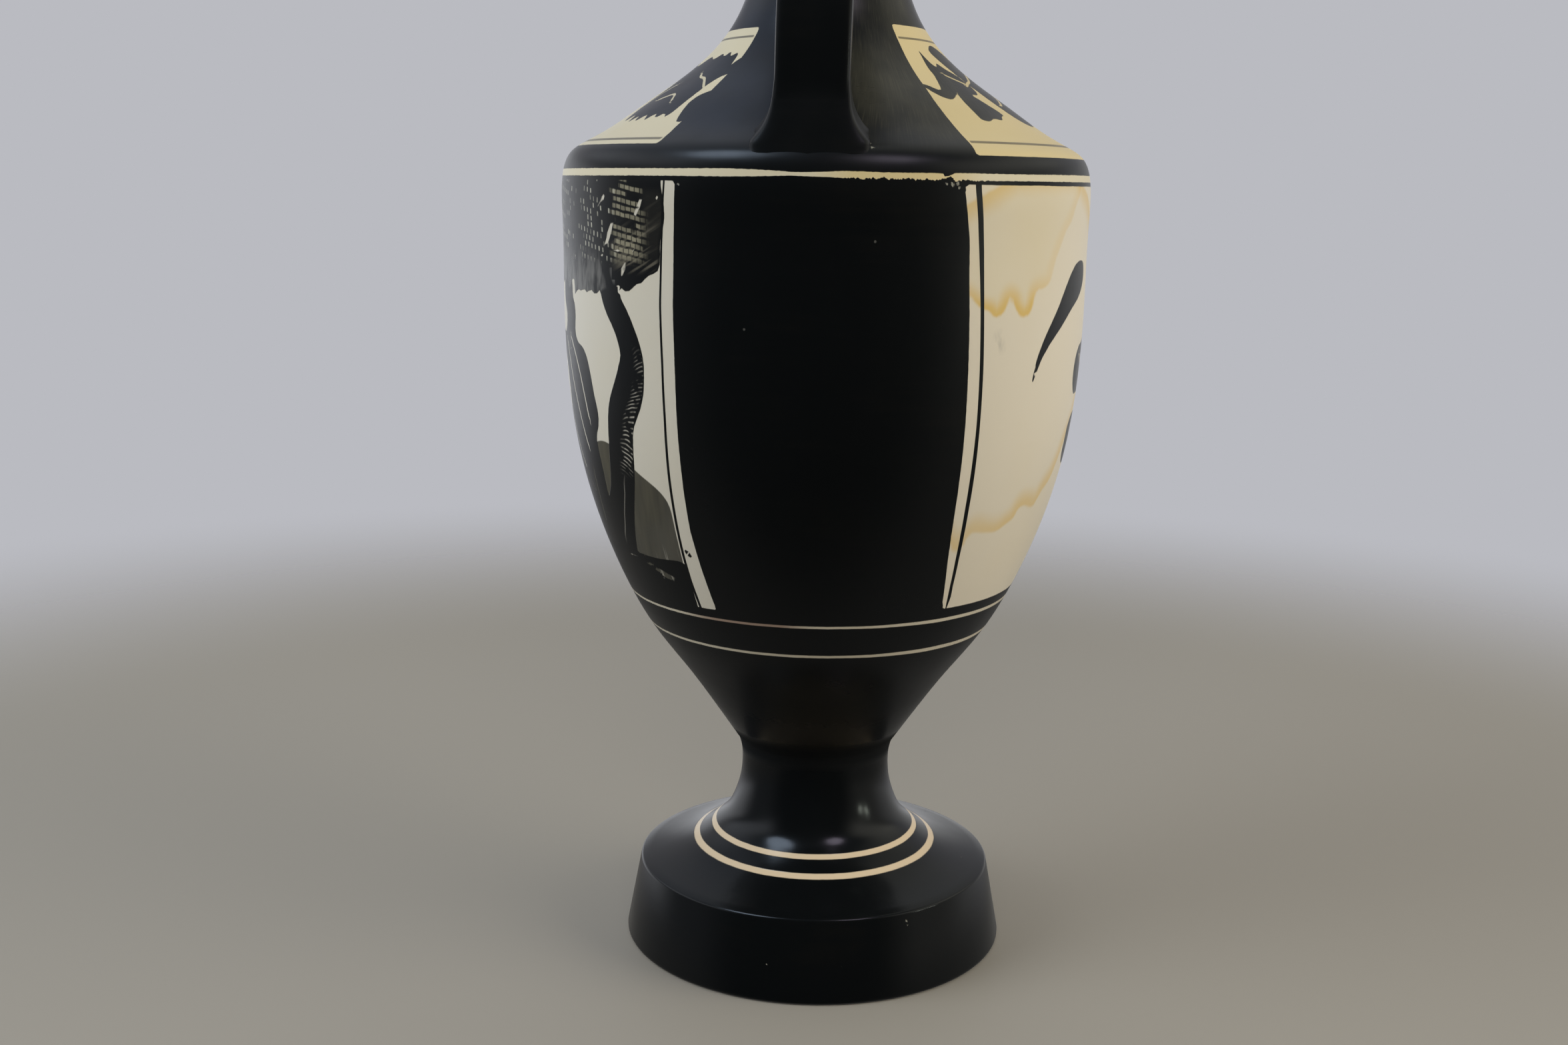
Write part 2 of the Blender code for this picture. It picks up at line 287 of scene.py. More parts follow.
# %% Handle sizes and path
HANDLE_WIDTH = 0.0188
HANDLE_THICKNESS = 0.0085
HANDLE_REACH = 0.0654
HANDLE_RISE = 0.0732
HANDLE_LEAN = 0.0020
LEAN_CENTRE = 0.3
HANDLE_GAP = 0.0022
ROOT_GAP = 0.0006
HANDLE_TURN = 6.0
ROOT_DEPTH = 0.0080
HEAD_RADIUS = 0.0140
ARCH_FORM = (
    (1.0, 0.0), (1.008, 0.20), (1.0, 0.40), (0.93, 0.63), (0.72, 0.86), (0.42, 0.985), (0.15, 1.0), (0.0, 1.0),
)

upper_skin = skin[(skin[:, 1] > SHOULDER_LEVEL) & (skin[:, 1] < NECK_LEVEL)]
root_level = float(np.interp(HANDLE_REACH, upper_skin[::-1, 0], upper_skin[::-1, 1]))
arch = [
    (NECK_RADIUS + out * (HANDLE_REACH - NECK_RADIUS), root_level + up * HANDLE_RISE) for out, up in ARCH_FORM
]
start = [(HANDLE_REACH - ROOT_DEPTH / 8, root_level - ROOT_DEPTH)]
handle_line = smooth_curve(start + arch + [(HEAD_RADIUS, root_level + HANDLE_RISE)])
at_root = handle_line[:, 1] < root_level + ROOT_DEPTH
handle_path = np.vstack([
    thinned(handle_line[at_root], ROOT_GAP, HANDLE_TURN), thinned(handle_line[~at_root], HANDLE_GAP, HANDLE_TURN)
])
print("handle stations:", len(handle_path), "root level in mm:", round(1000 * root_level, 1))

# %% Sweep one strap
SECTION_POINTS = 56
SECTION_SQUARENESS = 0.30


def squared(value):
    """A cosine or sine pushed outwards, which turns a circle into a fuller oval."""
    return math.copysign(abs(value) ** SECTION_SQUARENESS, value)


def sweep_strap(name, side):
    """A strap along the handle's path; side is 1 for the front handle and -1 for the back one."""
    spots = [Vector((side * out, 0, up)) for out, up in handle_path]
    runs = np.concatenate([[0], np.cumsum([(b - a).length for a, b in zip(spots, spots[1:])])])
    for spot, run in zip(spots, runs):
        spot.y = side * HANDLE_LEAN * (run / runs[-1] - LEAN_CENTRE)
    leans = np.unwrap([math.atan2(d.x, d.z) for d in (b - a for a, b in zip(spots, spots[1:]))])
    tilts = [leans[0], *((leans[1:] + leans[:-1]) / 2), leans[-1]]
    deselect()
    bpy.ops.mesh.primitive_circle_add(
        vertices=SECTION_POINTS, radius=1, fill_type="NGON", location=spots[0], rotation=(0, tilts[0], 0)
    )
    strap = bpy.context.object
    strap.name = strap.data.name = name
    for vertex in strap.data.vertices:
        x, y, _ = vertex.co
        vertex.co = (squared(x) * HANDLE_THICKNESS / 2, squared(y) * HANDLE_WIDTH / 2, 0)
    bpy.ops.object.transform_apply(location=True, rotation=True, scale=True)
    bpy.ops.object.mode_set(mode="EDIT")
    bpy.ops.mesh.select_all(action="SELECT")
    for i in range(1, len(spots)):
        bpy.ops.mesh.extrude_region_move(TRANSFORM_OT_translate={"value": spots[i] - spots[i - 1]})
        turn = (tilts[i] - tilts[i - 1] + math.pi) % math.tau - math.pi
        bpy.ops.transform.rotate(value=-turn, orient_axis="Y", center_override=spots[i])
    close_up(strap)
    return strap


handle_front = sweep_strap("handle_front", 1)
handle_back = sweep_strap("handle_back", -1)

# %% The distance to the skin
SKIN_GAP = 0.001
SKIN_TURN = 5.0


def skin_near(points):
    """How far each point lies outside the body's skin, and the skin's direction outwards there."""
    place = np.column_stack([np.hypot(points[:, 0], points[:, 1]), points[:, 2]])
    line = thinned(skin, SKIN_GAP, SKIN_TURN)
    best = np.full(len(points), 1.0)
    over = np.full(len(points), 1.0)
    outwards = np.zeros((len(points), 2))
    for start, step in zip(line, np.diff(line, axis=0)):
        to = place - start
        share = np.clip(to @ step / (step @ step), 0, 1)
        gap = np.linalg.norm(to - share[:, None] * step, axis=1)
        nearer = gap < best
        best[nearer] = gap[nearer]
        over[nearer] = (gap * np.sign(to[:, 0] * step[1] - to[:, 1] * step[0]))[nearer]
        outwards[nearer] = np.array([step[1], -step[0]]) / np.linalg.norm(step)
    around = np.arctan2(points[:, 1], points[:, 0])
    outwards = np.column_stack([outwards[:, 0] * np.cos(around), outwards[:, 0] * np.sin(around), outwards[:, 1]])
    return over, outwards


def mesh_points(obj):
    """The mesh's points as an array, in metres."""
    found = np.empty(len(obj.data.vertices) * 3)
    obj.data.vertices.foreach_get("co", found)
    return found.reshape(-1, 3)


# %% Smooth the joins over the skin
# Height and width of the clay that is smoothed out round a handle's root and head.
ROOT_FILLET = (0.0130, 0.0010)
HEAD_FILLET = (0.0050, 0.0026)
ROOT_WIDENING = 0.0042
# The root's outer face runs down from this height over the root, a little steeper than the skin's tangent.
RAMP_RISE = 0.0115
RAMP_SHARE = 0.86
SINK = 0.0015


def ramp_radius(height):
    """The radius of the root's outer face, which runs down onto the shoulder's edge and dives under it."""
    face = HANDLE_REACH + HANDLE_THICKNESS / 2
    top = root_level + RAMP_RISE
    edge = skin[(skin[:, 1] > SHOULDER_LEVEL) & (skin[:, 1] < root_level)]
    slope = RAMP_SHARE * ((edge[:, 0] - face) / (top - edge[:, 1])).max()
    crossing = edge[edge[:, 0] >= face + slope * (top - edge[:, 1]), 1].max()
    ramp = face + slope * (top - height)
    under = np.interp(height, skin[:, 1], skin[:, 0]) - SINK * np.clip((crossing - height) / SINK, 0, 1)
    return np.where(height < crossing, np.minimum(ramp, under), np.where(height < top, ramp, 0))


def spread(strap, side):
    """Spreads the strap's root and head over the skin, and sinks its ends just under it."""
    points = mesh_points(strap)
    over, outwards = skin_near(points)
    low = points[:, 2] < root_level + HANDLE_RISE / 2
    height, width = (np.where(low, a, b) for a, b in zip(ROOT_FILLET, HEAD_FILLET))
    path = np.array([(side * out, up) for out, up in handle_path])
    nearest = np.argmin(np.linalg.norm(points[:, None, [0, 2]] - path[None], axis=2), axis=1)
    away = points - np.column_stack([path[nearest, 0], np.zeros(len(points)), path[nearest, 1]])
    facing = np.clip(side * away[:, 0] / (HANDLE_THICKNESS / 2), 0, 1)
    away -= (away * outwards).sum(axis=1)[:, None] * outwards
    away /= np.maximum(np.linalg.norm(away, axis=1), WELD)[:, None]
    near = np.clip(1 - over / height, 0, 1)
    middle = points[low & (near > 0), 1].mean()
    from_middle = np.clip((points[:, 1] - middle) / (HANDLE_WIDTH / 4), -1, 1)
    points[:, 1] += np.where(low, ROOT_WIDENING * near ** 3, 0) * from_middle
    points += away * (width * (1 - np.sqrt(1 - near ** 2)))[:, None]
    wanted = np.where(over < -SINK / 2, -SINK, over)
    for _ in range(2):
        over, outwards = skin_near(points)
        points += outwards * np.where(near > 0, wanted - over, 0)[:, None]
    radius = np.hypot(points[:, 0], points[:, 1])
    pushed = np.where(low, np.maximum(ramp_radius(points[:, 2]) - radius, 0), 0) * facing
    points[:, :2] *= (1 + pushed / radius)[:, None]
    strap.data.vertices.foreach_set("co", points.ravel())
    strap.data.update()
    print(strap.name, "width at the root in mm:", round(2000 * float(points[low, 1].max()), 1))


spread(handle_front, 1)
spread(handle_back, -1)

# %% [markdown]
# ## Laying out the painting
# The painter keeps clean edges, so the paint can't come from a blurred picture. Each outline is drawn here
# as a few stations in degrees round the vase and heights in body radii. For each point of the mesh the
# distance to the outline is worked out in millimetres, positive inside, and kept as an attribute. The glaze
# material then switches colour where a distance crosses zero, which gives a crisp edge at any zoom.

# %% Where each point lies
MM = 1000
SIGHT_TURN = 4.2
FAR = 8.0
VERY_FAR = 99.0

points = mesh_points(body)
turn = np.degrees(np.arctan2(points[:, 1], points[:, 0]))
sight = (turn - SIGHT_TURN + 180) % 360 - 180
level = points[:, 2] / BODY_RADIUS
reach = MM * np.hypot(points[:, 0], points[:, 1])
outer = (skin_near(points)[0] > -WALL / 4) & (points[:, 2] > JOINT_LEVEL)
left_side = points[:, 1] < 0
print("painted points:", int(((level > 1.4) & (level < 3.7) & outer).sum()))

# %% Borders of the panels
# (level, degrees) of the black band's edge, the stripe's inner edge and the thin line's inner edge.
LEFT_BAND = (
    (1.5, 29.65), (1.6, 30.5), (1.7, 31.3), (1.8, 31.9), (2.0, 31.9), (2.2, 31.85), (2.4, 31.8), (2.6, 32.0),
    (2.8, 31.8), (3.0, 31.45),
)
LEFT_STRIPE = (
    (1.5, 34.4), (1.6, 35.0), (1.7, 35.2), (1.8, 35.2), (2.0, 35.0), (2.2, 34.6), (2.4, 34.55), (2.6, 34.85),
    (2.8, 34.5), (3.0, 33.8),
)
LEFT_LINE_WIDTH = ((1.5, 2.2, 3.0), (0.85, 0.62, 0.46))
RIGHT_BAND = (
    (1.51, 34.6), (1.53, 33.75), (1.6, 32.6), (1.7, 31.15), (1.8, 30.3), (1.9, 29.85), (2.0, 29.6), (2.2, 29.3),
    (2.4, 28.9), (2.6, 28.5), (2.7, 28.2), (2.83, 27.9), (2.9, 27.3), (3.0, 26.4),
)
RIGHT_STRIPE = (
    (1.5, 35.6), (1.55, 34.9), (1.6, 34.3), (1.7, 33.45), (1.8, 32.9), (1.9, 32.5), (2.0, 32.3), (2.2, 32.1),
    (2.4, 31.65), (2.6, 31.1), (2.7, 30.7), (2.8, 30.2), (2.9, 29.6), (3.0, 28.8),
)
RIGHT_LINE = (
    (1.5, 36.0), (1.55, 36.0), (1.6, 35.3), (1.7, 34.5), (1.8, 34.0), (1.9, 33.6), (2.0, 33.4), (2.2, 33.0),
    (2.4, 32.6), (2.6, 32.0), (2.7, 31.7), (2.8, 31.4), (2.9, 30.9), (3.0, 30.2),
)
SHOULDER_SLOPE = 1.22
SHOULDER_START = 3.06
WALL_CORNER, SHOULDER_CORNER = 0.3, 0.7
# The cream's lowest and highest levels, each for the left and the right panel.
WALL_LOW, WALL_HIGH = (1.495, 1.503), (3.016, 3.016)
SHOULDER_LOW, SHOULDER_HIGH = (3.14, 3.113), (3.565, 3.58)
LEFT_SHOULDER = ((3.14, 38.5), (3.2, 39.5), (3.5, 41.5), (3.56, 42.0))
RIGHT_SHOULDER = ((3.12, 30.0), (3.2, 31.0), (3.3, 31.5), (3.4, 33.5), (3.5, 36.0), (3.58, 37.0))


def across(left, right):
    """Millimetres past a border into its panel; each panel's two borders mirror each other."""
    folded = np.minimum(np.abs(turn), 180 - np.abs(turn))
    left_edge = np.interp(level, *zip(*left)) - SIGHT_TURN
    right_edge = np.interp(level, *zip(*right)) + SIGHT_TURN
    return (folded - np.where(left_side, left_edge, right_edge)) * np.radians(1) * reach


def by_panel(wall, shoulder):
    """Each point's own value of two pairs, for the left and the right panel of the wall and of the shoulder."""
    return np.where(on_shoulder, np.where(left_side, *shoulder), np.where(left_side, *wall))


def rounded(a, b, radius):
    """The smaller of two distances, with the corner between them rounded."""
    corner = (a < radius) & (b < radius)
    return np.where(corner, radius - np.hypot(radius - a, radius - b), np.minimum(a, b))


on_shoulder = level > SHOULDER_START
band_edge = np.where(on_shoulder, across(LEFT_SHOULDER, RIGHT_SHOULDER), across(LEFT_BAND, RIGHT_BAND))
stripe_edge = across(LEFT_STRIPE, RIGHT_STRIPE)
left_line = tuple((z, edge + float(np.interp(z, *LEFT_LINE_WIDTH))) for z, edge in LEFT_STRIPE)
line_edge = across(left_line, RIGHT_LINE)
slope = np.where(on_shoulder, SHOULDER_SLOPE, 1.0) * MM * BODY_RADIUS
upright = np.minimum(level - by_panel(WALL_LOW, SHOULDER_LOW), by_panel(WALL_HIGH, SHOULDER_HIGH) - level) * slope
paper = np.where(outer, rounded(band_edge, upright, np.where(on_shoulder, SHOULDER_CORNER, WALL_CORNER)), -FAR)
print("cream points:", int((paper > 0).sum()))

# %% Brushes: outlines and strokes measured in unrolled millimetres
STROKE_SPANS = 5
SCRATCH_SPANS = 6
WALL_SPREAD = (np.radians(1) * MM * BODY_RADIUS, MM * BODY_RADIUS)
SHOULDER_MIDDLE = 58
SHOULDER_SPREAD = (np.radians(1) * SHOULDER_MIDDLE, SHOULDER_SLOPE * MM * BODY_RADIUS)


def smooth_line(stations, spans, closed=False):
    """A smooth line through stations in unrolled millimetres, and the mesh points near it with their places."""
    upper = min(station[1] for station in stations) > SHOULDER_START
    spread_by = SHOULDER_SPREAD if upper else WALL_SPREAD
    corners = np.array(stations, float)
    corners[:, :2] *= spread_by
    line = smooth_curve(np.vstack([corners, corners[:1]]) if closed else corners, spans)
    low = line[:, :2].min(axis=0) - FAR
    high = line[:, :2].max(axis=0) + FAR
    place = np.column_stack([sight, level]) * spread_by
    near = ((place > low) & (place < high)).all(axis=1) & outer & (on_shoulder == upper)
    return line, near, place[near]


def along_segments(line, place):
    """For each stretch of a line: its ends, and each place's share of the way along it and distance from it."""
    for a, b in zip(line, line[1:]):
        step = (b - a)[:2]
        to = place - a[:2]
        share = np.clip(to @ step / max(step @ step, 1e-9), 0, 1)
        yield a, b, to, share, np.linalg.norm(to - share[:, None] * step, axis=1)


def outline(stations, spans=3):
    """Distance into a closed smooth outline, given as (degrees, level)."""
    line, near, place = smooth_line(stations, spans, closed=True)
    gap = np.full(len(place), VERY_FAR)
    inside = np.zeros(len(place), bool)
    for a, b, to, _, away in along_segments(line, place):
        gap = np.minimum(gap, away)
        if a[1] != b[1]:
            crosses = (a[1] > place[:, 1]) != (b[1] > place[:, 1])
            inside ^= crosses & (to[:, 0] < to[:, 1] / (b[1] - a[1]) * (b[0] - a[0]))
    found = np.full(len(sight), -FAR)
    found[near] = np.maximum(np.where(inside, gap, -gap), -FAR)
    return found


def stroke(stations):
    """Distance into a brush stroke, given as (degrees, level, half width in mm)."""
    line, near, place = smooth_line(stations, STROKE_SPANS)
    depth = np.full(len(place), -FAR)
    for a, b, _, share, away in along_segments(line, place):
        depth = np.maximum(depth, a[2] + share * (b[2] - a[2]) - away)
    found = np.full(len(sight), -FAR)
    found[near] = depth
    return found


def together(*shapes):
    """The union of several painted shapes."""
    return np.maximum.reduce(shapes)


def all_strokes(*lines):
    """The union of several brush strokes."""
    return together(*(stroke(line) for line in lines))


# %% [markdown]
# ## The picture on the left panel
# A broad tree with a full crown leans over a grey hill, and a draped figure sits at its foot. The crown and
# the trunk are black glaze; the hill is thinned glaze, washed on. The half of the panel that the photograph
# can't show is finished in the same manner and plainer: a second draped figure and a low shrub.

# %% Tree and ground of the left panel
crown = outline((
    (-34.6, 3.12), (-34.7, 3.0), (-34.1, 2.95), (-34.0, 2.88), (-34.9, 2.82), (-35.1, 2.745), (-35.6, 2.714),
    (-37.3, 2.700), (-39.1, 2.684), (-40.1, 2.668), (-41.5, 2.664), (-42.6, 2.648), (-43.3, 2.636),
    (-44.1, 2.645), (-44.9, 2.635), (-45.8, 2.647), (-46.8, 2.656), (-48, 2.655), (-50, 2.65), (-53, 2.64),
    (-54.7, 2.622), (-56.1, 2.620), (-57.5, 2.634), (-59.1, 2.619), (-60.7, 2.631), (-62.4, 2.621),
    (-64.1, 2.627), (-66.3, 2.608), (-67, 2.66), (-68.5, 2.66), (-71, 2.63), (-75, 2.66), (-79, 2.64),
    (-84, 2.65), (-88, 2.70), (-93, 2.68), (-97, 2.74), (-101, 2.72), (-104, 2.80), (-107, 2.88), (-107, 3.0),
    (-105, 3.12),
))
TRUNK = (
    (-53.6, 2.74, 2.9), (-51.2, 2.66, 3.5), (-49.4, 2.60, 3.9), (-46.7, 2.54, 3.9), (-44.7, 2.48, 4.0),
    (-43.4, 2.41, 4.4), (-43.8, 2.35, 5.2), (-45.2, 2.28, 6.0), (-47.9, 2.2, 5.9), (-49.4, 2.1, 5.8),
    (-50.5, 2.0, 6.0), (-52.6, 1.9, 6.0), (-56, 1.8, 7.0), (-60, 1.7, 9.0), (-63, 1.62, 11.0),
)
trunk = stroke(TRUNK)
trunk_middle, trunk_level, trunk_half = np.array(TRUNK[::-1]).T
trunk_side = (sight - np.interp(level, trunk_level, trunk_middle)) * WALL_SPREAD[0]
trunk_side = trunk_side / np.interp(level, trunk_level, trunk_half)
ground = outline((
    (-35.4, 1.40), (-35.4, 1.60), (-35.6, 1.665), (-40, 1.672), (-48, 1.668), (-56, 1.672), (-70, 1.68),
    (-90, 1.665), (-110, 1.675), (-130, 1.66), (-148, 1.67), (-153.0, 1.66), (-153.1, 1.60), (-153.1, 1.40),
), spans=2)

# %% Figures, shrub and hill of the left panel
sitter = outline((
    (-68.3, 2.60), (-66.8, 2.566), (-66.5, 2.517), (-66.9, 2.467), (-65.6, 2.436), (-63.4, 2.424), (-61.2, 2.40),
    (-59.8, 2.355), (-59, 2.306), (-58.1, 2.244), (-57.3, 2.19), (-58.1, 2.13), (-59.2, 2.107), (-59.5, 2.0),
    (-60, 1.85), (-61, 1.66), (-75, 1.60), (-92, 1.62), (-94, 1.70), (-90, 1.76), (-88, 1.92), (-89, 2.06),
    (-86, 2.14), (-80, 2.16), (-78, 2.26), (-80, 2.36), (-84, 2.42), (-84, 2.46), (-79, 2.455), (-76, 2.47),
    (-74.5, 2.53), (-76.5, 2.57), (-77.2, 2.62), (-76.5, 2.69), (-73, 2.71), (-69.5, 2.68), (-68.3, 2.64),
), spans=4)
cloaked = outline((
    (-122, 2.74), (-119, 2.73), (-117.5, 2.68), (-118, 2.62), (-119.5, 2.59), (-116, 2.55), (-113, 2.45),
    (-112, 2.30), (-113, 2.10), (-111.5, 1.90), (-111, 1.62), (-131, 1.62), (-130, 1.85), (-129.5, 2.10),
    (-131, 2.32), (-130, 2.48), (-126, 2.57), (-123.8, 2.60), (-125.2, 2.64), (-125, 2.70),
), spans=4)
shrub = all_strokes(
    ((-141, 1.6, 1.2), (-141.5, 1.85, 1.1), (-140, 2.10, 0.8)),
    ((-141.5, 1.86, 0.8), (-145, 2.0, 2.4), (-146, 2.12, 0.8)),
    ((-141, 1.95, 0.8), (-137.5, 2.06, 2.4), (-136.5, 2.18, 0.8)),
    ((-140.6, 2.06, 0.8), (-141, 2.2, 2.4), (-140, 2.34, 0.8)),
)
hill = outline((
    (-36.25, 1.60), (-36.25, 1.83), (-36.9, 1.90), (-40, 1.95), (-45.5, 2.0), (-50, 2.05), (-54, 2.08), (-59, 2.08),
    (-66, 2.02), (-75, 1.93), (-86, 1.87), (-96, 1.84), (-106, 1.76), (-112, 1.68), (-112, 1.60),
))

# %% Bare places of the left panel
# The black misses these places, or is scraped off them, so that the cream shows.
bare = all_strokes(
    ((-51.4, 2.965, 0.4), (-51.9, 2.953, 0.7), (-52.3, 2.94, 0.4)),
    ((-53.4, 2.937, 0.3), (-53.9, 2.928, 0.4)),
    ((-39.6, 2.960, 0.3), (-40.2, 2.940, 0.55), (-41.2, 2.910, 0.5), (-42.0, 2.885, 0.2)),
    ((-41.6, 2.884, 0.3), (-41.9, 2.872, 0.4), (-42.0, 2.86, 0.2)),
    ((-48.2, 2.885, 0.25), (-49.2, 2.855, 0.65), (-50.3, 2.82, 0.7), (-51.0, 2.79, 0.35)),
    ((-51.5, 2.792, 0.35), (-49, 2.783, 0.4), (-47, 2.778, 0.4), (-46.2, 2.772, 0.3)),
    ((-53.2, 2.762, 0.4), (-52.6, 2.758, 0.45)),
    ((-41.6, 2.792, 0.35), (-42.2, 2.778, 0.45)),
    ((-44.9, 2.740, 0.3), (-45.3, 2.715, 0.75), (-45.7, 2.688, 0.4)),
    ((-35.4, 2.966, 0.35), (-35.8, 2.953, 0.35)),
    ((-35.3, 2.935, 0.3), (-35.4, 2.915, 0.35), (-35.4, 2.90, 0.25)),
    ((-58, 1.652, 0.15), (-53, 1.645, 0.3), (-48.5, 1.630, 0.5), (-45.5, 1.612, 0.8), (-42.5, 1.598, 0.9),
     (-40.3, 1.590, 0.4)),
    ((-50.6, 1.70, 0.2), (-50.2, 1.675, 0.35), (-49.9, 1.65, 0.2)),
    ((-48.6, 1.715, 0.2), (-48.0, 1.685, 0.4), (-47.2, 1.655, 0.2)),
)
smudge = stroke(((-34.6, 1.722, 0.35), (-34.0, 1.712, 0.8), (-33.4, 1.706, 0.6), (-33.0, 1.700, 0.3)))
print("left picture points:", int((together(crown, trunk, ground, sitter) > 0).sum()))

# %% [markdown]
# ## The picture on the right panel
# On the right a long leaf-shaped stroke points at a draped figure with wide sleeves, of which the photograph
# shows only the ends. Two old tide marks, from something spilt, run down the cream in amber drips.

# %% Leaf, figure and stains of the right panel
leaf = stroke((
    (47.4, 2.335, 0.3), (49, 2.41, 1.0), (52.5, 2.49, 1.9), (57, 2.56, 2.9), (62, 2.635, 4.3), (67, 2.685, 4.9),
    (69.5, 2.70, 3.8),
))
sleeves = all_strokes(
    ((74.3, 2.345, 7.1), (84, 2.37, 7.6), (92, 2.42, 8.0)),
    ((76.2, 2.08, 7.5), (86, 2.08, 9.0), (93, 2.10, 10.0)),
)
dancer = outline((
    (94, 2.78), (90.5, 2.76), (89, 2.70), (90, 2.64), (91.5, 2.60), (87, 2.55), (84, 2.46), (85, 2.3), (86, 2.1),
    (84, 1.9), (83, 1.62), (106, 1.60), (105, 1.85), (103.5, 2.1), (104.5, 2.3), (104.5, 2.46), (101, 2.55),
    (96.5, 2.60), (98, 2.64), (99, 2.70), (97.5, 2.76),
), spans=4)
second_leaf = stroke((
    (117, 2.75, 0.6), (119, 2.6, 3.0), (122, 2.42, 4.2), (124, 2.25, 3.0), (125, 2.05, 0.8),
))
footing = stroke(((80, 1.60, 1.0), (95, 1.585, 1.6), (110, 1.60, 1.0)))
upper_stain = outline((
    (8, 3.5), (12, 2.70), (24, 2.66), (28.6, 2.639), (29.7, 2.62), (31.8, 2.599), (33.1, 2.592), (34.1, 2.575),
    (35.4, 2.566), (36.6, 2.574), (37.6, 2.596), (38.2, 2.62), (38.8, 2.640), (39.6, 2.621), (40.6, 2.594),
    (41.8, 2.575), (43.3, 2.567), (44.9, 2.577), (45.7, 2.60), (46.3, 2.63), (46.8, 2.655), (49, 2.664),
    (51.9, 2.685), (53.3, 2.74), (56.1, 2.82), (60.3, 2.90), (64.3, 2.985), (69, 3.1), (80, 3.5),
))
lower_stain = outline((
    (20, 1.79), (30.6, 1.765), (32.0, 1.735), (32.8, 1.728), (33.4, 1.744), (34.8, 1.752), (35.1, 1.785),
    (36, 1.803), (38, 1.80), (42, 1.79), (45.8, 1.793), (48, 1.811), (50.3, 1.832), (51.2, 1.86), (56, 1.862),
    (60, 1.874), (61, 1.90), (64.5, 1.94), (68, 2.02), (74, 2.14), (80, 2.30), (80, 2.9), (20, 2.9),
))
print("right picture points:", int((together(leaf, sleeves, dancer) > 0).sum()))

# %% [markdown]
# ## The birds on the shoulder
# Each shoulder panel shows a long-tailed bird, painted loosely with ragged feathers. The far halves mirror
# the near ones, with plainer birds.

# %% Birds
left_bird = outline((
    (-38, 3.445), (-42, 3.447), (-43.6, 3.425), (-45, 3.465), (-47, 3.47), (-49, 3.46), (-52, 3.478), (-54, 3.462),
    (-57, 3.472), (-61, 3.455), (-66, 3.465), (-71, 3.45), (-76, 3.435), (-79, 3.45), (-83, 3.44), (-84, 3.41),
    (-80, 3.385), (-76, 3.36), (-74, 3.30), (-71, 3.235), (-69, 3.228), (-67.5, 3.25), (-65, 3.222), (-63, 3.245),
    (-61, 3.222), (-58.5, 3.248), (-56, 3.225), (-54, 3.25), (-52, 3.232), (-50, 3.25), (-48, 3.235), (-46.8, 3.27),
    (-46, 3.32), (-44.5, 3.365), (-42, 3.385), (-38, 3.41),
))
left_feather = outline((
    (-38, 3.335), (-41.5, 3.325), (-44.2, 3.30), (-43, 3.245), (-41, 3.215), (-38, 3.23),
))
right_tail = stroke((
    (33.2, 3.352, 0.9), (36, 3.333, 1.3), (38.5, 3.325, 1.5), (41, 3.338, 2.0), (44.5, 3.372, 3.0),
))
right_wing = outline((
    (43.5, 3.38), (42.8, 3.41), (43.8, 3.44), (45.5, 3.47), (46.3, 3.49), (47.5, 3.455), (49.5, 3.43), (52, 3.445),
    (55, 3.425), (58, 3.41), (60, 3.37), (57, 3.335), (52, 3.335), (47, 3.335), (44.5, 3.35),
))
right_lobe = outline((
    (43, 3.24), (43.2, 3.28), (44.5, 3.33), (48, 3.35), (52, 3.33), (55.5, 3.29), (57, 3.262), (54.5, 3.255),
    (53, 3.243), (49, 3.246), (46, 3.235),
))
right_mate = outline((
    (55, 3.49), (58, 3.505), (63, 3.515), (70, 3.50), (78, 3.47), (86, 3.44), (92, 3.42), (93, 3.38), (88, 3.34),
    (82, 3.27), (76, 3.235), (70, 3.228), (66, 3.24), (63, 3.27), (61, 3.32), (60, 3.40), (57.5, 3.45),
))
far_birds = together(
    outline((
        (-104, 3.44), (-100, 3.46), (-98, 3.43), (-101, 3.40), (-104, 3.34), (-110, 3.25), (-120, 3.235),
        (-132, 3.27), (-143, 3.36), (-132, 3.37), (-122, 3.42), (-112, 3.40),
    )),
    outline((
        (104, 3.44), (100, 3.46), (98, 3.43), (101, 3.40), (104, 3.34), (110, 3.25), (118, 3.235), (128, 3.27),
        (138, 3.36), (128, 3.37), (120, 3.42), (112, 3.40),
    )),
)
dark = together(
    crown, trunk, ground, sitter, cloaked, shrub, smudge, leaf, sleeves, dancer, second_leaf, footing, left_bird,
    left_feather, right_tail, right_wing, right_lobe, right_mate, far_birds,
)
print("bird points:", int(((dark > 0) & on_shoulder).sum()))

# %% [markdown]
# ## Lines scratched through the glaze
# Folds, feathers and the crown's leaves are scratched through the black with a point, so that the cream
# shows. Such a line is thinner than the mesh, so each point keeps its signed distance to the nearest line:
# the sign changes across the line, and the material draws the thin band where the distance is nearly zero.

# %% Scratched lines
SCRATCH_ZONE = 2.2

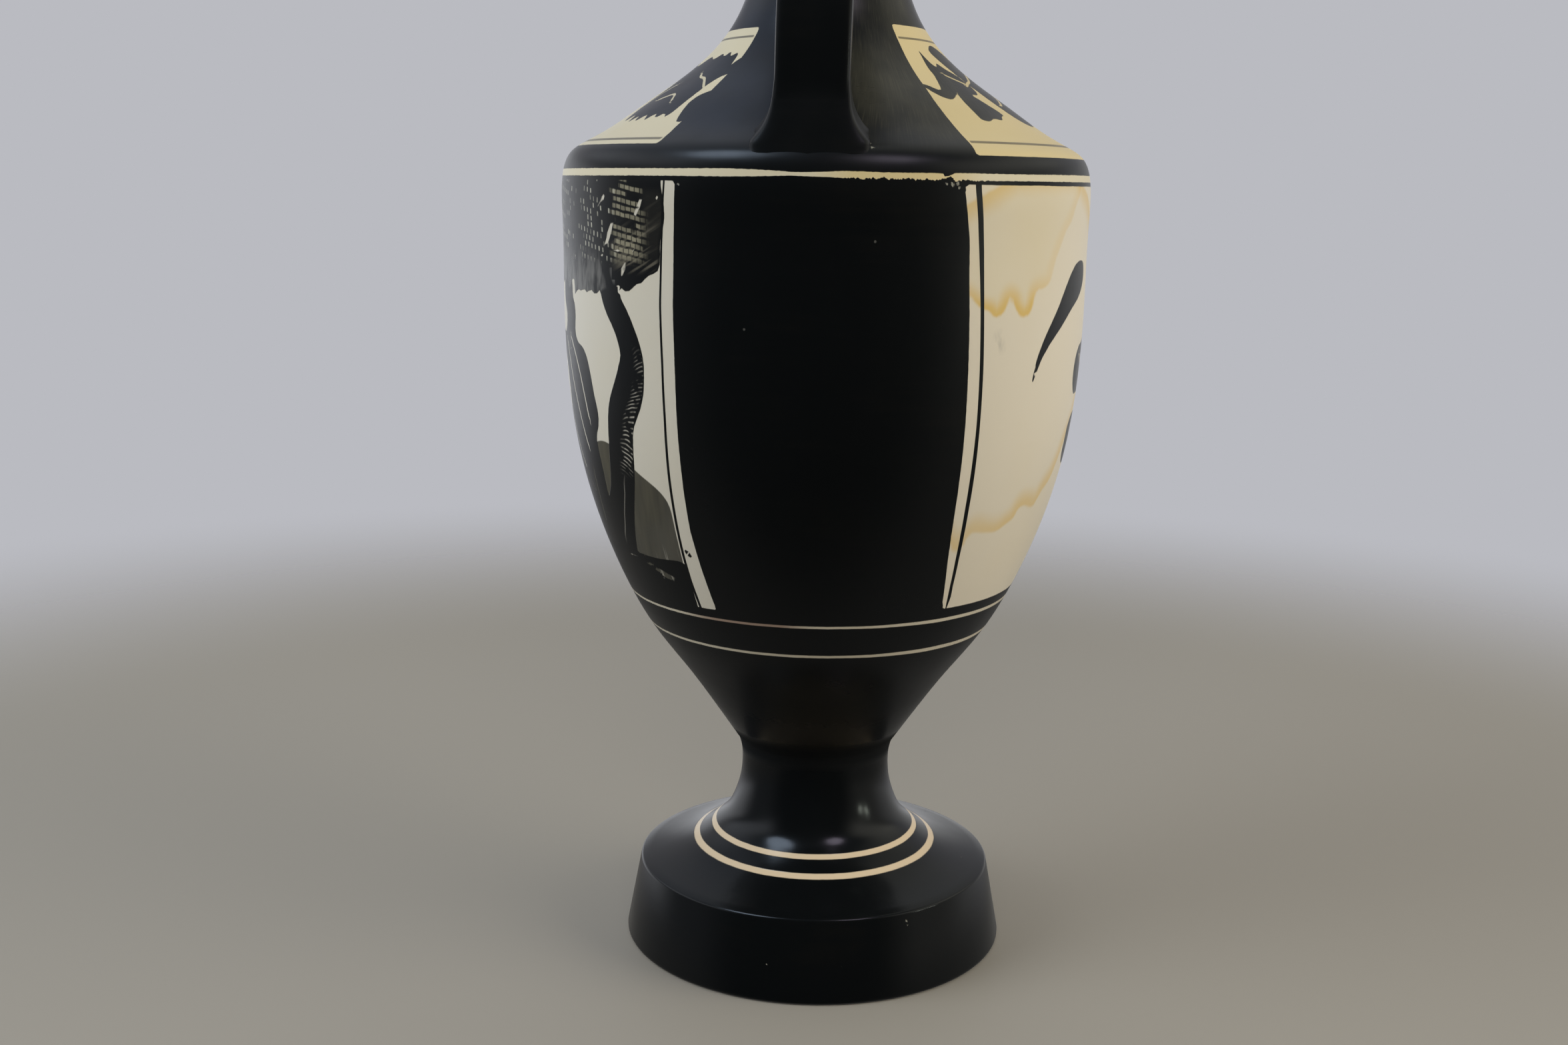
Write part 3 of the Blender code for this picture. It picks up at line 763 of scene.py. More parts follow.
SCRATCHES = (
    # (degrees, level) along each line
    ((-70.5, 2.44), (-67.5, 2.38), (-64.5, 2.28), (-62.5, 2.16)),
    ((-75, 2.42), (-72, 2.30), (-69, 2.18), (-66, 2.05)),
    ((-80, 2.24), (-78, 2.12), (-74, 1.98), (-70, 1.88)),
    ((-85, 2.10), (-84, 1.98), (-82, 1.86), (-80, 1.74)),
    ((-66, 1.95), (-66.5, 1.86), (-68, 1.76)),
    ((-116, 2.50), (-118, 2.30), (-117, 2.10), (-116, 1.80)),
    ((-122, 2.52), (-123, 2.30), (-122, 2.05), (-121.5, 1.76)),
    ((-127, 2.48), (-127.5, 2.25), (-126.5, 2.02), (-126.5, 1.76)),
    ((89, 2.50), (90, 2.30), (89.5, 2.05), (88, 1.76)),
    ((94.5, 2.54), (95, 2.30), (94.5, 2.02), (94.5, 1.76)),
    ((100, 2.50), (100, 2.28), (99.5, 2.02), (101, 1.76)),
    ((75, 2.40), (80, 2.36), (86, 2.36)),
    ((77, 2.13), (81, 2.06), (86, 2.02)),
    ((-46, 3.345), (-49, 3.365), (-52, 3.38), (-55, 3.385), (-57, 3.395)),
    ((-55, 3.30), (-58, 3.322), (-61, 3.318), (-65, 3.305)),
    ((-68, 3.36), (-72, 3.33), (-73, 3.29)),
    ((57, 3.365), (60, 3.375), (65, 3.385), (70, 3.40), (76, 3.415)),
    ((50, 3.40), (54, 3.385), (58, 3.372)),
    ((66, 3.30), (72, 3.32), (80, 3.35)),
    ((-108, 3.30), (-116, 3.33), (-126, 3.33)),
    ((108, 3.30), (116, 3.33), (124, 3.33)),
)


def scratches():
    """For each point the signed distance to the nearest line, and how far it lies inside that line's zone."""
    offset = np.full(len(sight), FAR)
    zone = np.full(len(sight), -FAR)
    for stations in SCRATCHES:
        line, near, place = smooth_line(stations, SCRATCH_SPANS)
        gap = np.full(len(place), VERY_FAR)
        side = np.ones(len(place))
        for a, b, to, _, away in along_segments(line, place):
            nearer = away < gap
            gap[nearer] = away[nearer]
            side[nearer] = np.sign(to[:, 0] * (b[1] - a[1]) - to[:, 1] * (b[0] - a[0]))[nearer]
        index = np.flatnonzero(near)
        better = SCRATCH_ZONE - gap > zone[index]
        zone[index[better]] = SCRATCH_ZONE - gap[better]
        offset[index[better]] = (gap * side)[better]
    return offset, zone


scratch_offset, scratch_zone = scratches()

# %% The shoulder line, drawn freehand: its height and its half thickness, round the vase
RING_MIDDLE = (
    (-180, 3.043), (-60, 3.043), (-20, 3.045), (-10, 3.044), (-5, 3.042), (2, 3.043), (10, 3.041), (20, 3.041),
    (30, 3.041), (60, 3.043), (180, 3.043),
)
RING_HALF = (
    (-180, 0.0115), (-60, 0.0125), (-34, 0.012), (-20, 0.013), (-12, 0.0095), (-7, 0.0055), (-3, 0.0075),
    (3, 0.0115), (12, 0.0105), (20, 0.011), (21.8, 0.010), (22.8, 0.002), (24.2, 0.012), (27, 0.0125), (40, 0.011),
    (60, 0.012), (180, 0.0115),
)
ring_place = (level - np.interp(sight, *zip(*RING_MIDDLE))) / np.interp(sight, *zip(*RING_HALF))

# %% Keep the painting in the mesh
PAINTING = {
    "paper": paper,
    "stripe": np.where(on_shoulder, -FAR, stripe_edge),
    "thread": line_edge,
    "dark": dark,
    "crown": crown,
    "trunk_side": np.where(trunk > -1.0, trunk_side, -FAR),
    "bare": bare,
    "hill": hill,
    "upper_stain": np.where(left_side, -FAR, upper_stain),
    "lower_stain": np.where(left_side, -FAR, lower_stain),
    "scratch": scratch_offset,
    "scratch_zone": scratch_zone,
    "ring": np.where(outer | (points[:, 2] <= JOINT_LEVEL), ring_place, FAR),
}
for name, values in PAINTING.items():
    layer = body.data.attributes.new(name, "FLOAT", "POINT")
    layer.data.foreach_set("value", np.clip(values, -FAR * 5, FAR * 5).astype(np.float32))
print("attributes:", ", ".join(PAINTING))

# %% [markdown]
# ## Writing shader maths as sums
# A glaze is described by masks that are added, multiplied and compared. One small class wraps a node socket,
# so that such a description reads like arithmetic and each operation adds its Math node.

# %% A socket that can be reckoned with


class Signal:
    """A value that changes over the surface, as one output socket of a node tree."""

    def __init__(self, tree, socket):
        self.tree = tree
        self.socket = socket

    def node(self, kind, settings, inputs, output=0):
        """Adds a node, sets it up, and returns one of its outputs; inputs are keyed by name or place."""
        made = self.tree.nodes.new(kind)
        for key, value in settings.items():
            setattr(made, key, value)
        for key, value in inputs.items():
            if isinstance(value, Signal):
                self.tree.links.new(value.socket, made.inputs[key])
            else:
                made.inputs[key].default_value = value
        return Signal(self.tree, made.outputs[output])

    def parts(self):
        """The three numbers of a vector."""
        first = self.node("ShaderNodeSeparateXYZ", {}, {0: self})
        return [Signal(self.tree, socket) for socket in first.socket.node.outputs]

    def math(self, operation, *others):
        return self.node("ShaderNodeMath", {"operation": operation}, dict(enumerate((self, *others))))

    def __add__(self, other):
        return self.math("ADD", other)

    def __sub__(self, other):
        return self.math("SUBTRACT", other)

    def __mul__(self, other):
        return self.math("MULTIPLY", other)

    def __truediv__(self, other):
        return self.math("DIVIDE", other)

    def __pow__(self, other):
        return self.math("POWER", other)

    def __neg__(self):
        return self * -1

    def __rsub__(self, other):
        return -self + other

    def __abs__(self):
        return self.math("ABSOLUTE")

    __radd__ = __add__
    __rmul__ = __mul__

    def clipped(self):
        return self.node("ShaderNodeClamp", {}, {0: self})

    def edge(self, softness=0.12):
        """One where the value is above zero and zero below it, with a soft step in between."""
        return (self / softness + 0.5).clipped()

    def between(self, low, high, softness=0.12):
        return (self - low).edge(softness) * (high - self).edge(softness)

    def eased(self, low, high):
        """Rises smoothly from zero at low to one at high."""
        settings = {"interpolation_type": "SMOOTHSTEP"}
        return self.node("ShaderNodeMapRange", settings, {0: self, 1: low, 2: high, 3: 0.0, 4: 1.0})


# %% Colours, grain and places on the vase
def srgb(red, green, blue):
    """A colour as seen on a screen, 0 to 255, as the linear values that a shader takes."""
    return tuple((v / 255 / 12.92) if v <= 10 else ((v / 255 + 0.055) / 1.055) ** 2.4 for v in (red, green, blue))


def blend(mask, under, over):
    """The colour under, painted over where the mask is one."""
    colours = {"data_type": "RGBA", "blend_type": "MIX"}
    under, over = ((*c, 1) if isinstance(c, tuple) else c for c in (under, over))
    return mask.node("ShaderNodeMix", colours, {0: mask, 6: under, 7: over}, 2)


def grain(place, scale, detail=2.0, stretch_by=(1, 1, 1), roughness=0.5):
    """Noise round zero, from -0.5 to 0.5, at a scale in cycles per metre."""
    stretched = place.node("ShaderNodeVectorMath", {"operation": "MULTIPLY"}, {0: place, 1: stretch_by})
    inputs = {"Vector": stretched, "Scale": scale, "Detail": detail, "Roughness": roughness}
    return place.node("ShaderNodeTexNoise", {"noise_dimensions": "3D"}, inputs) - 0.5


class Place:
    """Where a shaded point lies on the vase: its object place, and its height and turn round the axis."""

    def __init__(self, material):
        tree = material.node_tree
        start = Signal(tree, tree.nodes["Principled BSDF"].outputs[0])
        self.tree = tree
        self.start = start
        self.spot = start.node("ShaderNodeTexCoord", {}, {}, 3)
        self.x, self.y, self.z = self.spot.parts()
        self.level = self.z / BODY_RADIUS
        self.turn = self.y.math("ARCTAN2", self.x) * math.degrees(1) - SIGHT_TURN
        self.radius = (self.x * self.x + self.y * self.y) ** 0.5

    def vector(self, *numbers):
        """A vector put together from up to three numbers."""
        return self.start.node("ShaderNodeCombineXYZ", {}, dict(enumerate(numbers)))

    def apart(self, spot):
        """How far the shaded point lies from a spot, in metres."""
        return self.spot.node("ShaderNodeVectorMath", {"operation": "DISTANCE"}, {0: self.spot, 1: spot}, 1)

    def kept(self, name):
        """One of the painting's attributes."""
        return self.start.node("ShaderNodeAttribute", {"attribute_name": name}, {}, 2)

    def unrolled(self, across_scale, up_scale):
        """A vector of turn and height, for strokes that run round or up the vase."""
        return self.vector(self.turn * across_scale, self.z * up_scale, self.radius * up_scale)


def new_material(name):
    material = bpy.data.materials.new(name)
    material.use_nodes = True
    return material


def connect(material, **sockets):
    """Sets the shader's sockets: a Signal is linked and a plain value is set on the socket itself."""
    shader = material.node_tree.nodes["Principled BSDF"]
    for name, value in sockets.items():
        socket = shader.inputs[name.replace("_", " ")]
        if isinstance(value, Signal):
            material.node_tree.links.new(value.socket, socket)
        else:
            socket.default_value = value


# %% [markdown]
# ## The black glaze
# The black is a thick, satin glaze, brushed on while the vase turned: fine marks run round it, with small
# scratches, dust specks and thin places. The same description serves the handles and the body.

# %% Black glaze
BLACK = srgb(14, 16, 17)
THIN_BLACK = srgb(24, 23, 20)
DUST = srgb(150, 148, 140)
GLAZE_ROUGHNESS = 0.30
GLAZE_IOR = 1.35
GLAZE_RELIEF = 0.00012


def black_glaze(place):
    """The black's colour, its roughness and its height for the bump, at a place on the vase."""
    clouds = grain(place.spot, 38, 3.0)
    brushed = grain(place.unrolled(0.06, 520), 1.0, 3.0)
    fine = grain(place.spot, 700, 2.0)
    thin = (clouds * 1.1 + brushed * 0.5).eased(0.02, 0.5) * 0.45
    colour = blend(thin, BLACK, THIN_BLACK)
    cells = {"feature": "F1", "voronoi_dimensions": "3D"}
    inputs = {"Vector": place.spot, "Scale": 150.0, "Randomness": 1.0}
    distance = place.start.node("ShaderNodeTexVoronoi", cells, inputs, 0)
    lot, *_ = place.start.node("ShaderNodeTexVoronoi", cells, inputs, 1).parts()
    speck = (0.045 + fine * 0.03 - distance).edge(0.02) * (lot - 0.90).edge(0.02)
    colour = blend(speck * 0.25, colour, DUST)
    strokes = grain(place.spot, 120, 3.0, (1, 1, 0.25))
    roughness = GLAZE_ROUGHNESS + clouds * 0.10 + strokes * 0.10 + brushed * 0.04 + speck * 0.3
    height = brushed * 0.12 + strokes * 0.5 + fine * 0.06 + clouds * 0.6
    return colour, roughness, height


def finish_glaze(material, colour, roughness, height):
    """Links a finished glaze to the shader, its relief through a Bump node."""
    bump = height.node("ShaderNodeBump", {}, {"Strength": 0.5, "Distance": GLAZE_RELIEF, "Height": height})
    connect(material, Base_Color=colour, Roughness=roughness, Normal=bump, Metallic=0.0)
    connect(material, IOR=GLAZE_IOR, Specular_IOR_Level=0.5)


handle_glaze = new_material("handle_glaze")
finish_glaze(handle_glaze, *black_glaze(Place(handle_glaze)))

# %% [markdown]
# ## The painted glaze
# The body's finish goes on in the painter's order: cream slip in the panels, amber stains, the hill's grey
# wash, black pictures, scratched lines, and last the thin rings. Every edge wanders a little, like a brush.

# %% Cream slip with its stains
CREAM = srgb(228, 219, 199)
# The next colour is painted shade: the cream of the left half, cooler and a little darker.
SHADED_COOL_CREAM = srgb(220, 214, 198)
YELLOW_CREAM = srgb(222, 203, 152)
SHOULDER_CREAM = srgb(224, 214, 184)
AMBER = srgb(222, 188, 106)
PALE_AMBER = srgb(222, 205, 156)
SCUFF_GREY = srgb(150, 146, 136)
SCUFFS = ((0.0572, 0.0484, 0.1878), (0.0566, 0.0491, 0.1855))


def cream_slip(place):
    """The cream ground with its clouds, painted shade on its left half, and the two tide marks."""
    # Painted shade: the left half of the cream is cooler and a little darker.
    left = place.y.eased(0.01, -0.02)
    clouds = grain(place.spot, 30, 3.0)
    cream = blend(left, CREAM, SHADED_COOL_CREAM)
    cream = blend(place.level.eased(3.0, 3.12), cream, blend(left, YELLOW_CREAM, SHOULDER_CREAM))
    wander = grain(place.spot, 160, 2.0) * 1.6
    upper = place.kept("upper_stain") + wander
    lower = place.kept("lower_stain") + wander
    drips = 0.30 + (1 - place.level.eased(2.60, 2.72)) * 0.65
    upper_tide = upper.eased(-0.3, 0.8) * (1 - upper.eased(0.8, 5.0)) * drips
    lower_tide = lower.eased(-0.5, 0.8) * (1 - lower.eased(0.6, 7.0)) * (0.62 + clouds * 0.5)
    cream = blend(upper.eased(-0.3, 3.0) * (0.22 + clouds * 0.3), cream, PALE_AMBER)
    cream = blend((upper_tide + lower_tide).clipped(), cream, AMBER)
    scuffed = grain(place.spot, 460, 2.0, (1, 1, 0.4)) * 3.0 + 0.1
    for spot in SCUFFS:
        gap = place.apart(spot)
        cream = blend(((0.0026 - gap) * 400).clipped() * scuffed.clipped() * 0.6, cream, SCUFF_GREY)
    return blend((clouds * 1.5).clipped() * 0.25, cream, PALE_AMBER)


# %% Strokes in any direction, and the grey wash of the hill
def slanted(place, angle, along, across, detail=1.0):
    """Noise drawn out along a direction on the vase's wall, its lengths given in millimetres."""
    side = place.turn * WALL_SPREAD[0]
    up = place.z * MM
    cosine, sine = math.cos(math.radians(angle)), math.sin(math.radians(angle))
    seat = place.vector((side * cosine + up * sine) / along, (up * cosine - side * sine) / across)
    return place.start.node("ShaderNodeTexNoise", {}, {"Vector": seat, "Scale": 1.0, "Detail": detail}) - 0.5


WASH = srgb(38, 37, 28)
PALE_WASH = srgb(76, 72, 56)


def hill_wash(place, under):
    """The thinned glaze of the hill, lighter in the middle and with runs down its foot."""
    runs = grain(place.unrolled(0.9, 30), 1.0, 2.0)
    clouds = grain(place.spot, 45, 2.0)
    wash = blend((clouds * 2.6 + 0.30 + slanted(place, 80, 14.0, 2.2) * 1.2).clipped(), WASH, PALE_WASH)
    low = place.level.eased(1.74, 1.66)
    wash = blend((runs * 4 - 0.4).clipped() * low, wash, under)
    mask = (place.kept("hill") + clouds * 0.5).edge(0.3)
    return blend(mask * (0.93 + clouds * 0.2), under, wash)


# %% Leaves scratched into the crown
ROW_GAP = 0.00180
ROW_TILT = 0.00021
CELLS_PER_DEGREE = 0.68
LEAF_GREY = srgb(158, 152, 128)
TICK_WHITE = srgb(205, 202, 184)


def crown_leaves(place):
    """Rows of small cells near the panel's edge, and fine upright ticks further left."""
    ragged = grain(place.spot, 330, 2.0)
    rows = (place.z + place.turn * ROW_TILT) / ROW_GAP + ragged * 0.35
    row = rows.math("FLOOR")
    shift = (row * 12.9898).math("SINE") * 43.7
    columns = place.turn * CELLS_PER_DEGREE + shift + ragged * 0.3
    seat = place.vector(place.turn * 0.15 + shift, row * 3.7)
    runs = place.start.node("ShaderNodeTexNoise", {}, {"Vector": seat, "Scale": 1.0, "Detail": 0.0})
    lots = place.vector(columns.math("FLOOR"), row)
    lot = place.start.node("ShaderNodeTexWhiteNoise", {"noise_dimensions": "2D"}, {"Vector": lots}, 0)
    right_part = place.turn.eased(-50.5, -47.5) * (1 - place.turn.eased(-41.5, -37.5))
    left_part = place.turn.eased(-125, -95) * (1 - place.turn.eased(-48.5, -46.5))
    clumps = grain(place.spot, 60, 1.0)
    bars = (runs - 0.55 + right_part * 0.12 + clumps * 0.25).edge(0.04) * right_part
    ticks = (runs - 0.55 + place.turn.between(-60, -48, 4.0) * 0.10 + clumps * 0.35).edge(0.04) * left_part
    ticks = ticks * (lot - 0.25).edge(0.05)
    inside = (place.kept("crown") - 1.2).edge(0.8) * place.level.eased(2.72, 2.77)
    across = abs(columns.math("FRACT") - 0.5)
    up = abs(rows.math("FRACT") - 0.5)
    cell = bars * (0.42 - across).edge(0.10) * (0.30 - up + clumps * 0.1).edge(0.14) * (0.6 + lot * 0.4)
    tick = ticks * (0.10 + lot * 0.05 - across).edge(0.08) * (0.34 - up).edge(0.12) * (0.35 + lot * 0.65)
    return cell * inside, tick * inside


# %% Thin places in the crown, where the brush left the glaze translucent
CROWN_STROKE = srgb(104, 99, 86)
CROWN_WASH = srgb(118, 117, 113)


def thin_crown(place, black):
    """The crown's black with its slanting strokes at the right and its grey hanging wash at the left."""
    strokes = (slanted(place, 27, 16.0, 1.2) * 5.0 + 0.05).clipped()
    right_part = place.turn.eased(-50, -46) * (1 - place.turn.eased(-37, -34.5))
    zone = place.level.eased(2.69, 2.73) * (1 - place.level.eased(2.80, 2.90)) * right_part
    dull = place.turn.eased(-41, -38) * (1 - place.level.eased(2.96, 3.0)) * place.level.eased(2.70, 2.80) * 0.2
    inside = (place.kept("crown") - 0.6).edge(1.2)
    crown = blend((strokes * zone + dull * (strokes * 0.6 + 0.4)).clipped() * inside * 0.85, black, CROWN_STROKE)
    hanging = (slanted(place, 88, 9.0, 2.6, 2.0) * 5.0 + 0.65).clipped()
    left_part = 1 - place.turn.eased(-54, -50)
    low = 1 - place.level.eased(2.68, 2.80)
    wash = hanging * low * left_part * (place.kept("crown") + 0.4).edge(0.8) * (1 - place.kept("trunk_side").edge(0.3))
    wash = wash * place.level.eased(2.60, 2.62)
    near_trunk = place.turn.between(-49.5, -45.8, 1.2) * (1 - place.level.eased(2.70, 2.76)) * inside
    near_trunk = near_trunk * (1 - (1 - place.kept("trunk_side")).edge(0.3))
    return blend(((wash + near_trunk * hanging) * 0.75).clipped(), crown, CROWN_WASH)


# %% The trunk's bark, scratched along its right side
HAIRS_PER_MM = 0.92


def bark(place):
    """Fine curved cuts that sweep up to the trunk's right edge, and turn over below its bend."""
    side = place.kept("trunk_side")
    rising = place.level.eased(1.98, 2.28)
    bow = side * (rising * 4.0 - 1.0) - side * side * 1.2
    hairs = place.z * MM * HAIRS_PER_MM - bow + grain(place.spot, 200, 1.0) * 1.0
    lines = (0.15 - abs(hairs.math("FRACT") - 0.5)).edge(0.14)
    broken = (grain(place.spot, 380, 1.0) * 7 + 0.70).clipped()
    patches = (grain(place.spot, 110, 1.0) * 6 + 0.85).clipped() * (1 - place.level.eased(2.22, 2.34) * 0.5)
    strip = side.eased(rising * 0.35 - 0.20, rising * 0.2 + 0.35) * (1 - side.eased(0.90, 0.99))
    zone = place.level.eased(1.96, 2.05) * (1 - place.level.eased(2.38, 2.46))
    long_cuts = (0.035 - abs(side - 0.28 + grain(place.spot, 90, 1.0) * 0.35)).edge(0.05)
    long_cuts = long_cuts * place.level.between(1.72, 1.95, 0.06)
    return lines * broken * patches * strip * zone * 0.7 + long_cuts * 0.3


# %% Rings and thin lines, painted on the turning wheel
SLIP_LINE = srgb(214, 205, 184)
FOOT_LINE = srgb(222, 201, 168)
BROWN_LINE = srgb(150, 120, 104)
# (height, half thickness) of each ring
RINGS = ((0.0995, 0.00040), (0.1091, 0.00036))
FOOT_RINGS = ((0.0297, 0.00052), (0.0336, 0.00055))


def ring_masks(place):
    """The two body lines and the two foot rings, as masks."""
    wobble = grain(place.unrolled(0.10, 4), 1.0, 2.0) * 0.00025 + grain(place.spot, 600, 1.0) * 0.00008
    fuller = 1 + place.turn.eased(5, 40) * 0.5
    body_rings = sum(((fuller * half - abs(place.z - height + wobble)) * MM).edge(0.14) for height, half in RINGS)
    wobble = wobble * 0.5
    foot_rings = sum(((half - abs(place.z - height + wobble)) * MM).edge(0.14) for height, half in FOOT_RINGS)
    return body_rings, foot_rings


# %% Chips and specks that the photograph shows
CHIP = srgb(176, 174, 158)
CHIPS = (
    # place in metres, radius in millimetres
    ((0.0670, 0.0138, 0.2367), 0.15),
    ((0.0684, 0.0143, 0.2358), 0.30),
    ((0.0699, 0.0149, 0.2347), 0.35),
    ((0.0449, 0.0292, 0.0213), 0.20),
    ((0.0449, 0.0292, 0.0203), 0.15),
    ((0.0545, -0.0097, 0.0108), -0.10),
    ((0.0541, 0.0113, 0.0110), 0.00),
    ((0.0660, 0.0351, 0.1979), 0.00),
    ((0.0673, -0.0333, 0.2254), 0.15),
    ((0.0661, 0.0350, 0.2262), 0.40),
    ((0.0655, 0.0361, 0.2264), 0.35),
    ((0.0651, 0.0368, 0.2254), 0.35),
    ((0.0670, 0.0336, 0.2262), 0.25),
)


def chips(place):
    """Small ragged spots where the glaze has flaked off."""
    ragged = grain(place.spot, 1300, 3.0) * 1.7
    gaps = [(place.apart(spot), radius) for spot, radius in CHIPS]
    return sum((radius - gap * MM + ragged).edge(0.3) * (gap * -1500 + 1.9).clipped() for gap, radius in gaps).clipped()


# %% The shoulder's wear and painted sheen
# Painted sheen: the grey film is part real wear and part painted reflection of the room; the blue one is a painted
# reflection of a window.
WEAR_AND_SHEEN_GREY = srgb(70, 68, 56)
BLUE_SHEEN = srgb(32, 39, 53)


def shoulder_wear_and_sheen(place, black):
    """On the right of the front handle a dull greenish-grey film with fine scratches, part wear and part painted sheen;
    on its left a bluish painted sheen.
    """
    smears = (grain(place.spot, 55, 3.0, (1, 1, 0.6)) * 2.4 + 0.45).clipped()
    fine = (slanted(place, 62, 7.0, 0.35, 2.0) * 4.0).clipped()
    zone = place.level.eased(3.10, 3.22) * (1 - place.level.eased(3.62, 3.85))
    right_part = place.turn.eased(1, 9) * (1 - place.turn.eased(120, 150))
    left_part = place.turn.eased(-1, -9) * (1 - place.turn.eased(-120, -150))
    right_wear_and_sheen = blend(zone * right_part * (smears * 0.55 + fine * 0.5).clipped(), black, WEAR_AND_SHEEN_GREY)
    return blend(zone * left_part * (smears * 0.5 + 0.3), right_wear_and_sheen, BLUE_SHEEN)


# %% Put the painted glaze together
PANEL_LINES = (3.532, 3.158)
PANEL_LINE_HALF = 0.36

painted = new_material("painted_glaze")
place = Place(painted)
black, black_roughness, black_height = black_glaze(place)
# The shoulder's painted sheen, a painted reflection, and its wear go over the black here.
black = shoulder_wear_and_sheen(place, black)
wander = grain(place.spot, 420, 2.0) * 0.28 + grain(place.spot, 110, 1.0) * 0.25

thread = place.kept("stripe").edge(0.1) * (-place.kept("thread")).edge(0.1)
high_line, low_line = (
    (PANEL_LINE_HALF - abs(place.level - line_level + wander * 0.002) * SHOULDER_SPREAD[1]).edge(0.16)
    for line_level in PANEL_LINES
)
panel_lines = (high_line + low_line) * (place.kept("paper") - 0.6).edge(0.4) * 0.72
ground_mask = (place.kept("paper") + wander * 0.6).edge(0.14)

cream = cream_slip(place)
washed = hill_wash(place, cream)
pictures = (place.kept("dark") + wander).edge(0.16)
etched = (0.34 - abs(place.kept("scratch")) + wander * 0.5).edge(0.14) * place.kept("scratch_zone").edge(0.6)
bared = (place.kept("bare") + wander * 0.7).edge(0.2)
shown_black = (pictures * (1 - (etched + bared).clipped() * 0.9)).clipped()
cells, ticks = crown_leaves(place)
cuts = bark(place).clipped()
dark_paint = blend(cells.clipped() * 0.85, thin_crown(place, black), LEAF_GREY)
dark_paint = blend(ticks.clipped() * 0.8, dark_paint, TICK_WHITE)
dark_paint = blend(cuts * 0.80, dark_paint, cream)
picture = blend(shown_black, washed, dark_paint)

cover = (ground_mask * (1 - thread) * (1 - panel_lines)).clipped()
colour = blend(cover, black, picture)

body_rings, foot_rings = ring_masks(place)
ring_edge = place.kept("ring")
rough_part = place.turn.between(3, 30, 6.0) * (1 - ring_edge.edge(0.6))
ragged = grain(place.unrolled(1.3, 60), 1.0, 3.0) * (0.35 + rough_part * 2.2)
shoulder_ring = (1 - abs(ring_edge) + ragged - rough_part * 0.12).edge(0.16)
pink = place.turn.eased(-45, -30) * (1 - place.turn.eased(-12, -2)) * place.z.eased(0.104, 0.106)
colour = blend(body_rings, colour, blend(pink * 0.8, SLIP_LINE, BROWN_LINE))
colour = blend(foot_rings, colour, FOOT_LINE)
colour = blend(shoulder_ring, colour, blend(place.turn.between(0, 27, 8.0), SHOULDER_CREAM, YELLOW_CREAM))
flaked = chips(place)
colour = blend(flaked * 0.75, colour, CHIP)

light_paint = (cover * (1 - shown_black) + body_rings + foot_rings + shoulder_ring).clipped()
crease = (0.0035 - abs(place.z - JOINT_LEVEL)).edge(0.003)
low_gloss = 1 - place.z.eased(JOINT_LEVEL, JOINT_LEVEL + 0.02)
roughness = black_roughness + light_paint * 0.06 + flaked * 0.2 - low_gloss * 0.12 + crease * 0.7
height = black_height + (1 - light_paint) * 0.7 - flaked * 2.0
finish_glaze(painted, colour, roughness, height)
print("painted glaze nodes:", len(painted.node_tree.nodes))

# %% Give each piece its finish and its place in the frame
body.data.materials.append(painted)
for piece in (handle_front, handle_back):
    piece.data.materials.append(handle_glaze)
for piece in (body, handle_front, handle_back):
    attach(piece, "root")
    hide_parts("amphora")

# %% [markdown]
# ## Floor, light and camera
# The vase stands on a plain pale floor whose rim fades into a pale surround. A black gloss looks like the room
# round it, so the surround is drawn as a room by direction: a bright ceiling, pale walls at the sides and behind,
# and a dark side behind the camera. Large soft lamps light the surfaces and stay out of the gloss. Small lamps do
# the opposite: they show in the gloss alone, as the room's windows do.

# %% Floor
FLOOR_RADIUS = 1.6
FLOOR_FADE = (0.36, 0.75)
FLOOR_PAINT = srgb(161, 155, 144)

deselect()
bpy.ops.mesh.primitive_circle_add(vertices=96, radius=FLOOR_RADIUS, fill_type="NGON", location=(0, 0, 0))
floor = bpy.context.object
floor.name = "floor"
floor_paint = new_material("floor_paint")
connect(floor_paint, Base_Color=(*FLOOR_PAINT, 1), Roughness=0.6)
connect(floor_paint, Alpha=1 - Place(floor_paint).radius.eased(*FLOOR_FADE))
floor.data.materials.append(floor_paint)
floor.visible_glossy = False
floor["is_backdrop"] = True

# %% Surround
SEEN_WALL = srgb(186, 187, 193)
COOL_WALL, WARM_WALL, END_WALL = (0.15, 0.155, 0.17), (0.30, 0.29, 0.27), (0.38, 0.38, 0.41)
COOL_HORIZON, WARM_HORIZON = (0.85, 0.87, 0.92), (0.50, 0.50, 0.50)
COOL_WINDOW, WARM_WINDOW = (0.95, 1.00, 1.10), (1.00, 0.98, 0.88)
COOL_CEILING, WARM_CEILING, FAR_CEILING = (0.44, 0.48, 0.56), (0.52, 0.52, 0.48), (0.075, 0.090, 0.105)
GROUND_LIGHT = (0.15, 0.145, 0.135)
DARK_SIDE = (0.012, 0.013, 0.014)

world = bpy.data.worlds.new("surround")
bpy.context.scene.world = world
world.use_nodes = True
tree = world.node_tree
backdrop = Signal(tree, tree.nodes["Background"].outputs[0])
side_x, side_y, side_z = backdrop.node("ShaderNodeTexCoord", {}, {}, 0).parts()
ceiling = side_z.eased(0.35, 0.80)
front = side_x.eased(0.30, 0.75)
beside = abs(side_y).eased(0.55, 0.85) * side_z.eased(0.25, 0.42) * (1 - side_z.eased(0.55, 0.80))
warmth = side_y.eased(-0.6, 0.6)
behind = side_x.eased(0.15, -0.25)
walls = blend(warmth, COOL_WALL, WARM_WALL)
walls = blend(side_x.eased(-0.30, -0.75), walls, END_WALL)
horizon = side_x.eased(0.0, -0.5) * (1 - abs(side_z).eased(0.12, 0.28))
walls = blend(horizon, walls, blend(warmth, COOL_HORIZON, WARM_HORIZON))
